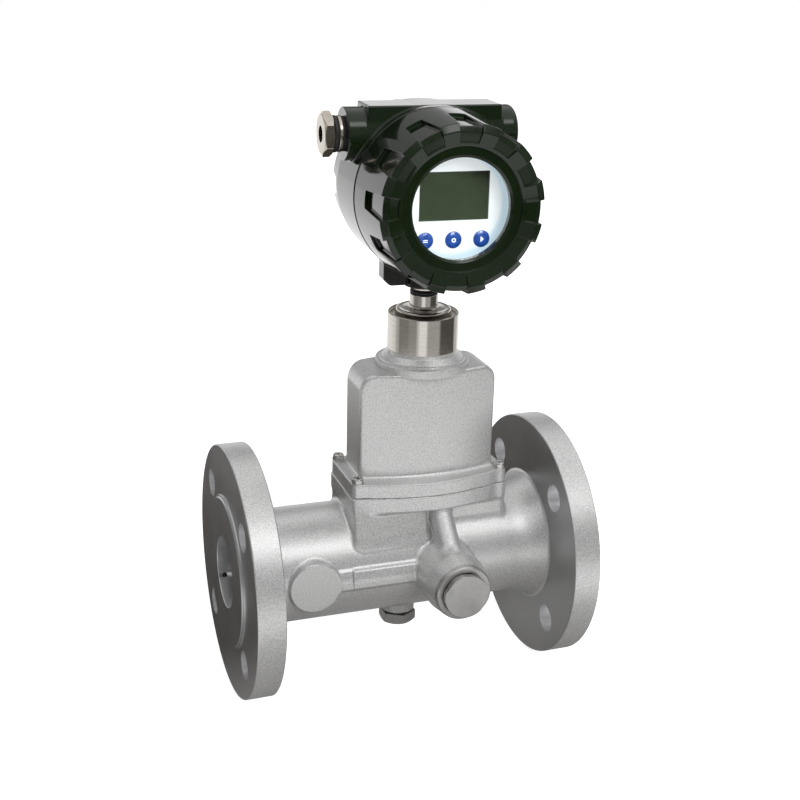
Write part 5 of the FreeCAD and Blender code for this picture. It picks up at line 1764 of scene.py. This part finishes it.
    def hood(self) -> None:
        """Hood casting, its collar and its four screws with washers."""
        seat = self.bench.seat
        hood = self.bench.loose("hood_casting", self.bench.mesh("hood_casting", [HoodCasting().net()]))
        seat(hood, "meter", self.paints.cast, "cast_body", ["hood_cover"])
        collar = self.neck.turn([(128.6, 15.6), (129.1, 24.0), (129.1, 30.1, 0.5), (134.8, 30.1, 0.8),
                                 (134.8, 27.6, 0.4), (136.1, 27.1, 0.4), (136.1, 26.2, 0.5),
                                 (139.6, 23.3, 1.5), (141.7, 22.4, 0.4), (141.7, 15.6)], 144, loop=True)
        seat(self.bench.welded("hood_collar", [collar]), "meter", self.paints.cast, "cast_body",
             ["hood_cover"])
        low = (NECK_X, 0, self.washer_low)
        high = (NECK_X, 0, self.washer_low + self.washer_height)
        head = socket_head(high, radius=3.7, height=3.0, flats=2.5, depth=1.2)
        screw = self.bench.welded("hood_screw_heads", [head])
        self.repeater.rectangle(screw, high, self.screw_span, self.paints.steel)
        seat(screw, "meter", self.paints.steel, "screw_steel", ["hood_screws"])
        rings = Spindle(low, Way.UP).turn([(0, 2.2), (0, 4.1, 0.15), (self.washer_height, 4.1, 0.2),
                                           (self.washer_height, 2.2)], 64, loop=True)
        washer = self.bench.welded("hood_screw_washers", [rings])
        self.repeater.rectangle(washer, low, self.screw_span, self.paints.steel)
        seat(washer, "meter", self.paints.steel, "screw_steel", ["hood_washers"])

    def neck_parts(self) -> None:
        """Sleeve, stem and the black ring under the head."""
        seat, turn, make = self.bench.seat, self.neck.turn, self.bench.welded
        sleeve = turn([(129.7, 12.6), (129.7, 15.45), (141.7, 15.45), (141.7, 22.75, 0.4),
                       (165.6, 22.75, 0.8), (165.6, 21.8, 0.3), (163.6, 21.8, 0.4), (163.6, 18.0, 0.3),
                       (161.2, 18.0), (161.2, 10.05), (140.2, 10.05), (140.2, 12.6)], 144, loop=True)
        seat(make("polished_sleeve", [sleeve]), "meter", self.paints.stainless, "stainless", ["neck_sleeve"])
        stem = turn([(161.4, 4.5), (161.4, 17.7, 0.4), (168.4, 17.7, 1.6), (168.0, 14.0, 3.0),
                     (168.4, 9.07, 1.0), (177.3, 9.07, 0.6), (177.3, 6.7), (180.0, 6.7), (180.0, 7.7, 0.2),
                     (184.0, 8.9), (199.0, 8.9, 0.8), (199.0, 4.5)], 120, loop=True)
        seat(make("turned_stem", [stem]), "head", self.paints.stainless, "stainless", ["neck_stem"])
        ring = turn([(177.3, 6.8), (177.3, 8.95, 1.2), (180.0, 8.95, 1.2), (180.0, 6.8)], 72, loop=True)
        seat(make("neck_ring", [ring]), "head", self.paints.rubber, "black_rubber", ["neck_seal"])

    def housing(self) -> None:
        """Head casting."""
        place = self.head
        skin = HeadCasting().net().moved(place.turn, (place.x, 0, 0))
        housing = self.bench.loose("head_casting", self.bench.mesh("head_casting", [skin]))
        self.bench.seat(housing, "head", self.paints.enamel, "green_enamel", ["head_housing"])

    def covers(self) -> None:
        """Front cover with its stepped window face, and the closed rear cover."""
        spigot = ((10.9, 42.3), (10.9, 46.05, 0.6), (19.0, 46.05), (19.0, 44.45), (21.4, 44.45))
        inside = ((67.0, 36.3, 0.2), (67.0, 31.3, 0.25), (65.9, 29.7, 0.25), (62.4, 29.7), (62.4, 36.5),
                  (51.6, 36.5), (50.6, 42.3), *spigot)
        front = CoverForm(
            ((21.4, 52.0, 0.7), (68.8, 49.7, 0.9), (71.2, 45.3, 1.2), (68.2, 36.3, 0.3), *inside),
            ((21.4, 49.3, 0.7), (67.9, 47.7, 0.9), (69.2, 44.4, 1.2), (67.5, 36.3, 0.3), *inside), 41.5)
        closed = ((39.4, 36.3, 0.4), (39.4, 0.02), (35.4, 0.02), (35.4, 38.3), (34.0, 42.3), *spigot)
        rear = CoverForm(
            ((21.4, 51.2, 0.7), (40.0, 49.8, 0.9), (42.4, 45.3, 1.2), *closed),
            ((21.4, 48.5, 0.7), (39.1, 47.8, 0.9), (40.4, 44.4, 1.2), (38.7, 36.3, 0.4), *closed[1:]), 30.4)
        for name, form, body, turned in (("front_screw_cover", front, "front_cover", 0),
                                         ("rear_screw_cover", rear, "rear_cover", math.pi)):
            cover = self.bench.loose(name, self.bench.mesh(name, [form.sector()]))
            self.repeater.ring(cover, form.count, (0, 0, form.z), Way.FRONT, self.paints.enamel)
            cover.data.transform(Matrix.Rotation(turned, 4, "Z"))
            self.bench.soften(self.head_piece(cover))
            self.bench.seat(cover, body, self.paints.enamel, "green_enamel", [body])

    def gland(self) -> None:
        """Cable gland in the left entry: seal, body, ring and hexagon cap."""
        line = Spindle((-53.7, 1.5, 277.8), Way.LEFT)
        paints = self.paints
        rings = (
            ("gland_flat_seal", [(0, 10.0), (0, 10.4, 0.3), (1.7, 10.4, 0.3), (1.7, 10.0)], paints.rubber,
             "black_rubber", "gland_seal"),
            ("gland_shoulder", [(-14.5, 6.5), (-14.5, 9.95, 0.6), (1.7, 9.95), (1.7, 11.0, 0.5),
                                (3.9, 11.0, 0.5), (3.9, 8.95), (11.3, 8.95), (11.3, 6.5)], paints.nickel,
             "nickel", "gland_body"),
            ("gland_round_ring", [(3.9, 9.0), (3.9, 11.0, 1.3), (7.0, 11.0, 1.3), (7.0, 9.0)], paints.rubber,
             "black_rubber", "gland_ring"),
        )
        for name, profile, finish, slot, node in rings:
            made = self.bench.welded(name, [line.turn(profile, 96, loop=True)])
            self.bench.seat(self.head_piece(made), "head", finish, slot, [node])
        nut = self.bench.welded("gland_cap", [line.nut(24.0, 23.0, 7.0, 13.4, 10.0, 0.0, True)])
        self.bench.seat(self.head_piece(nut), "head", paints.nickel, "nickel", ["gland_nut"])

    def buttons(self) -> None:
        """Three domed caps, each in its own blue with a plain sign."""
        for button in Button:
            cap = Spindle((button.value, 0, BUTTON_Z), Way.FRONT).turn(
                [(45.6, 0.0), (45.6, 1.5), (47.2, 1.5), (47.2, 6.1), (48.0, 6.1), (48.0, 5.1),
                 (50.6, 5.1, 0.5), (51.2, 3.2, 3.0), (51.3, 0.0)], 72)
            made = self.head_piece(self.bench.welded(button.node() + "_cap", [cap]))
            self.bench.seat(made, button.node(), self.paints.buttons[button], "blue_button", [button.node()])


class Dresser:
    """Gives the CAD nodes that still show their finishes."""

    def __init__(self, paints: Paints) -> None:
        """Match the record's slots with the materials.

        Args:
            paints: The materials.
        """
        self.by_slot = {
            "cast_body": paints.cast, "stainless": paints.steel, "plug_metal": paints.machined,
            "screw_steel": paints.steel, "green_enamel": paints.enamel, "nickel": paints.nickel,
            "black_rubber": paints.rubber, "clear_glass": paints.glass, "white_panel": paints.panel,
            "lcd_face": paints.lcd, "blue_button": paints.buttons[Button.LEFT],
            "circuit_board": paints.board, "post_brass": paints.brass,
            "terminal_plastic": paints.plastic, "sensor_steel": paints.steel,
        }

    def dress(self) -> None:
        """Repaint every shown node by the slot that the record gives it."""
        slots = {row["node"]: row["material_slot"] for row in frame["record"]["subparts"]}
        for name, thing in frame["nodes"].items():
            if thing.hide_render:
                continue
            slot = slots[name]
            thing.data.materials.clear()
            thing.data.materials.append(self.by_slot[slot])
            LOG.info("%s keeps its CAD mesh, in %s", name, slot)


# Studio and camera


@dataclass
class Panel:
    """Soft light panel that looks at a point and that metal doesn't mirror.

    Attributes:
        name: Name of the lamp.
        place: Where it hangs, in metres.
        target: Point that it looks at, in metres.
        size: Width and height in metres.
        power: Power in watts.
    """

    name: str
    place: Triple
    target: Triple
    size: Pair
    power: float

    def build(self) -> None:
        """Add the panel to the scene."""
        data = bpy.data.lights.new(self.name, "AREA")
        data.shape = "RECTANGLE"
        data.size, data.size_y = self.size
        data.energy = self.power
        lamp = bpy.data.objects.new(self.name, data)
        lamp.visible_glossy = False
        bpy.context.scene.collection.objects.link(lamp)
        way = Vector(self.target) - Vector(self.place)
        turn = way.to_track_quat("-Z", "Y").to_matrix().to_4x4()
        lamp.matrix_world = Matrix.Translation(self.place) @ turn


@dataclass(frozen=True)
class Ramp:
    """Smooth change of a level between two places.

    Attributes:
        start: Place where the change starts.
        end: Place where it is full, on either side of the start.
        change: What it adds to the level.
    """

    start: float
    end: float
    change: float

    def on(self, place: Flow, level: object) -> Flow:
        """Level with the change added along a place."""
        return place.step(self.start, self.end) * self.change + level


@dataclass(frozen=True)
class SkyBand:
    """Heights in degrees between which the sky goes over to one level all round.

    Attributes:
        start: Height where the change starts.
        end: Height from which the new level holds.
        level: The new level.
    """

    start: float
    end: float
    level: float


@dataclass(frozen=True)
class SoftWindow:
    """Soft bright patch high in front, which the enamel mirrors on its crests.

    Attributes:
        extra: What it adds to the sky's level.
        direction: Direction of its middle in degrees from +X towards +Y.
        height: Height of its middle in degrees.
        half_width: Half its width in degrees.
        half_height: Half its height in degrees.
        blur: Half the width of its soft edge in degrees.
    """

    extra: float = 2.6
    direction: float = -73.0
    height: float = 45.0
    half_width: float = 14.0
    half_height: float = 9.0
    blur: float = 5.0

    def level(self, angle: Flow, height: Flow) -> Flow:
        """Extra level of the sky.

        Args:
            angle: Direction in degrees.
            height: Height in degrees.

        Returns:
            The extra, which is zero away from the window.
        """
        across = abs(angle - self.direction).step(self.half_width + self.blur, self.half_width - self.blur)
        upright = abs(height - self.height).step(self.half_height + self.blur, self.half_height - self.blur)
        return across * upright * self.extra


@dataclass
class Studio:
    """White floor and surroundings with dark and bright sides, and soft panels.

    Levels are the brightness that a mirror would show. Directions are degrees from +X towards +Y, and each
    level holds from its direction to the next. Distances are millimetres from the neck's axis.

    Attributes:
        floor_z: Height of the floor in metres.
        floor_half: Half the side of the floor in metres.
        floor_seen: Shade of the floor for the camera.
        floor_soft: Shade of the floor for the light that it throws back.
        glow: Light that the camera sees the near floor give, so that it is white beside the shadow.
        white_from: Distances between which that light rises to full white.
        floor_tint: Colour of a dark floor in a mirror.
        table_sides: Levels of the far floor by direction.
        sky_sides: Levels above the horizon by direction.
        side_blur: Half the width of the change between two sides, in degrees.
        front_level: Level of the near floor in front, close to the meter.
        front_ramps: How it changes with distance.
        back_level: The same behind the meter.
        back_ramps: How that changes with distance.
        back_to_front: Y between which the floor behind becomes the floor in front.
        left_strip: Bright strip of the near floor on the left, along X.
        far_start: Distances between which the near floor becomes the far floor.
        table_edge: Y between which the far floor in front falls dark.
        sky_bands: Levels high above the horizon.
        window: Soft bright patch in front.
        soft_front: Soft light from the front, by the direction's -Y.
        soft_top: Soft light from above, by its Z.
        soft_right: Soft light from the right, by its X.
        soft_base: Soft light from all sides.
        inside: Level that is seen through glass.
        panels: The lamps.
    """

    floor_z: float = -0.0827
    floor_half: float = 3.0
    floor_seen: float = 0.8
    floor_soft: float = 0.4
    glow: float = 0.72
    white_from: Pair = (420.0, 1100.0)
    floor_tint: Triple = (0.03, 0.024, 0.017)
    table_sides: tuple[Pair, ...] = (
        (-180, 0.22), (-155, 0.3), (-128, 0.7), (-118, 1.75), (-106, 1.1), (-97, 0.42), (-54, 0.06),
        (8, 0.6), (30, 1.0), (138, 0.85), (154, 0.5), (168, 0.22))
    sky_sides: tuple[Pair, ...] = (
        (-180, 0.3), (-150, 0.26), (-30, 0.16), (10, 0.8), (60, 0.9), (150, 0.4))
    side_blur: float = 5.0
    front_level: float = 0.2
    front_ramps: tuple[Ramp, ...] = (Ramp(60, 200, 0.16), Ramp(172, 298, 0.72))
    back_level: float = 0.36
    back_ramps: tuple[Ramp, ...] = (Ramp(40, 150, -0.32),)
    back_to_front: Pair = (60.0, -60.0)
    left_strip: Ramp = Ramp(-170, -240, 0.8)
    far_start: Pair = (630.0, 700.0)
    table_edge: Pair = (-1190.0, -1110.0)
    sky_bands: tuple[SkyBand, ...] = (SkyBand(11, 17, 0.24), SkyBand(32, 46, 0.85))
    window: SoftWindow = SoftWindow()
    soft_front: Ramp = Ramp(-0.3, 0.9, 0.32)
    soft_top: Ramp = Ramp(0.0, 1.0, 0.14)
    soft_right: Ramp = Ramp(-0.2, 0.9, 0.1)
    soft_base: float = 0.05
    inside: float = 0.6
    panels: tuple[Panel, ...] = (
        Panel("key_panel", (0.42, -1.75, 1.15), (0.12, 0, 0.12), (0.9, 0.8), 48.0),
        Panel("back_panel", (-0.55, 1.7, 0.9), (0.12, 0, 0.15), (0.9, 0.8), 20.0))

    def side_level(self, angle: Flow, sides: Sequence[Pair]) -> Flow:
        """Level in a level direction.

        Args:
            angle: Direction in degrees.
            sides: Directions with the level that starts at each.

        Returns:
            The level, with a soft change between the sides.
        """
        level: object = sides[0][1]
        for (_, before), (start, after) in zip(sides, sides[1:]):
            level = Ramp(start - self.side_blur, start + self.side_blur, after - before).on(angle, level)
        return level

    def floor_level(self, kit: NodeKit, reach: Flow) -> Flow:
        """Level of the floor where a mirror sees it.

        Args:
            kit: Kit of the floor's material.
            reach: Distance from the neck's axis.

        Returns:
            The level.
        """
        near: list[object] = []
        for start, ramps in ((self.back_level, self.back_ramps), (self.front_level, self.front_ramps)):
            level: object = start
            for ramp in ramps:
                level = ramp.on(reach, level)
            near.append(level)
        close = self.left_strip.on(kit.x, kit.y.step(*self.back_to_front).between(*near))
        angle = kit.angle(kit.x - NECK_X, kit.y)
        far = self.side_level(angle, self.table_sides) * kit.y.step(*self.table_edge)
        return reach.step(*self.far_start).between(close, far)

    def build(self) -> None:
        """Add floor, world and lights."""
        half = self.floor_half
        mesh = bpy.data.meshes.new("studio_floor")
        corners = [(-half, -half), (half, -half), (half, half), (-half, half)]
        mesh.from_pydata([(x, y, self.floor_z) for x, y in corners], [], [(0, 1, 2, 3)])
        floor = bpy.data.objects.new("studio_floor", mesh)
        bpy.context.scene.collection.objects.link(floor)
        mesh.materials.append(self.floor_paint())
        self.surroundings()
        for panel in self.panels:
            panel.build()

    def floor_paint(self) -> Paint:
        """Matt white for the camera with the meter's shadow, and dark and bright parts for metal.

        Returns:
            The floor's material.
        """
        kit = ShaderKit("studio_floor")
        black = (0.0, 0.0, 0.0)
        seen, mirrored = kit.ray("Is Camera Ray"), kit.ray("Is Glossy Ray")
        reach = kit.distance_from((NECK_X, 0, 0), (1, 1, 0))
        level = self.floor_level(kit, reach)
        plain = kit.mix(seen, [self.floor_soft] * 3, [self.floor_seen] * 3)
        white = reach.step(*self.white_from).tint([self.glow] * 3, WHITE)
        glow = kit.mix(seen, black, white)
        kit.surface(Base_Color=kit.mix(mirrored, plain, black), Roughness=0.8, Specular_IOR_Level=0.0,
                    Emission_Color=kit.mix(mirrored, glow, level.tint(self.floor_tint, WHITE)),
                    Emission_Strength=1.0)
        return kit.material

    def surroundings(self) -> None:
        """White for the camera, a soft level for the light, and dark and bright sides for metal."""
        world = bpy.data.worlds.new("studio_world")
        bpy.context.scene.world = world
        world.use_nodes = True
        kit = NodeKit(world.node_tree, "Generated", 1.0)
        angle = kit.angle(kit.x, kit.y)
        height = kit.node("ShaderNodeMath", {"operation": "ARCSINE"}, {0: kit.z}) * (180 / math.pi)
        sky = self.side_level(angle, self.sky_sides)
        for band in self.sky_bands:
            sky = height.step(band.start, band.end).between(sky, band.level)
        sky = self.window.level(angle, height) + sky
        soft = self.soft_right.on(kit.x, self.soft_base)
        soft = self.soft_front.on(-kit.y, self.soft_top.on(kit.z, soft))
        strength = kit.ray("Is Glossy Ray").between(soft, sky)
        strength = kit.ray("Is Transmission Ray").between(strength, self.inside)
        strength = kit.ray("Is Camera Ray").between(strength, 1.0)
        back = kit.tree.nodes["Background"]
        back.inputs["Color"].default_value = (*WHITE, 1.0)
        kit.feed(back.inputs["Strength"], strength)


@dataclass
class PhotoCamera:
    """Camera found from the photograph."""

    place: Triple = (-0.16002, -0.76754, 0.40076)
    azimuth: float = -19.86
    elevation: float = 19.83
    roll: float = 1.49
    lens: float = 60.385

    def build(self) -> None:
        """Add the camera and make it the scene's."""
        a, e, r = (math.radians(v) for v in (self.azimuth, self.elevation, self.roll))
        ahead = Vector((-math.sin(a) * math.cos(e), math.cos(a) * math.cos(e), -math.sin(e)))
        right = Vector((math.cos(a), math.sin(a), 0.0))
        up = right.cross(ahead)
        tilted_right = right * math.cos(r) + up * math.sin(r)
        tilted_up = up * math.cos(r) - right * math.sin(r)
        data = bpy.data.cameras.new("photo_camera")
        data.lens = self.lens
        data.sensor_width = 36.0
        data.clip_start = 0.01
        camera = bpy.data.objects.new("photo_camera", data)
        bpy.context.scene.collection.objects.link(camera)
        turn = Matrix((tilted_right, tilted_up, -ahead)).transposed().to_4x4()
        camera.matrix_world = Matrix.Translation(self.place) @ turn
        bpy.context.scene.camera = camera


def main() -> None:
    """Build the meter, its studio and its camera."""
    logging.basicConfig(level=logging.INFO, format="%(name)s: %(message)s")
    scene = bpy.context.scene
    scene.view_settings.view_transform = "Standard"
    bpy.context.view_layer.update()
    bench = Bench()
    paints = Paints()
    meter = Meter(bench, Repeater(bench), paints)
    meter.build()
    Dresser(paints).dress()
    Studio().build()
    PhotoCamera().build()


if __name__ == "__main__":
    main()
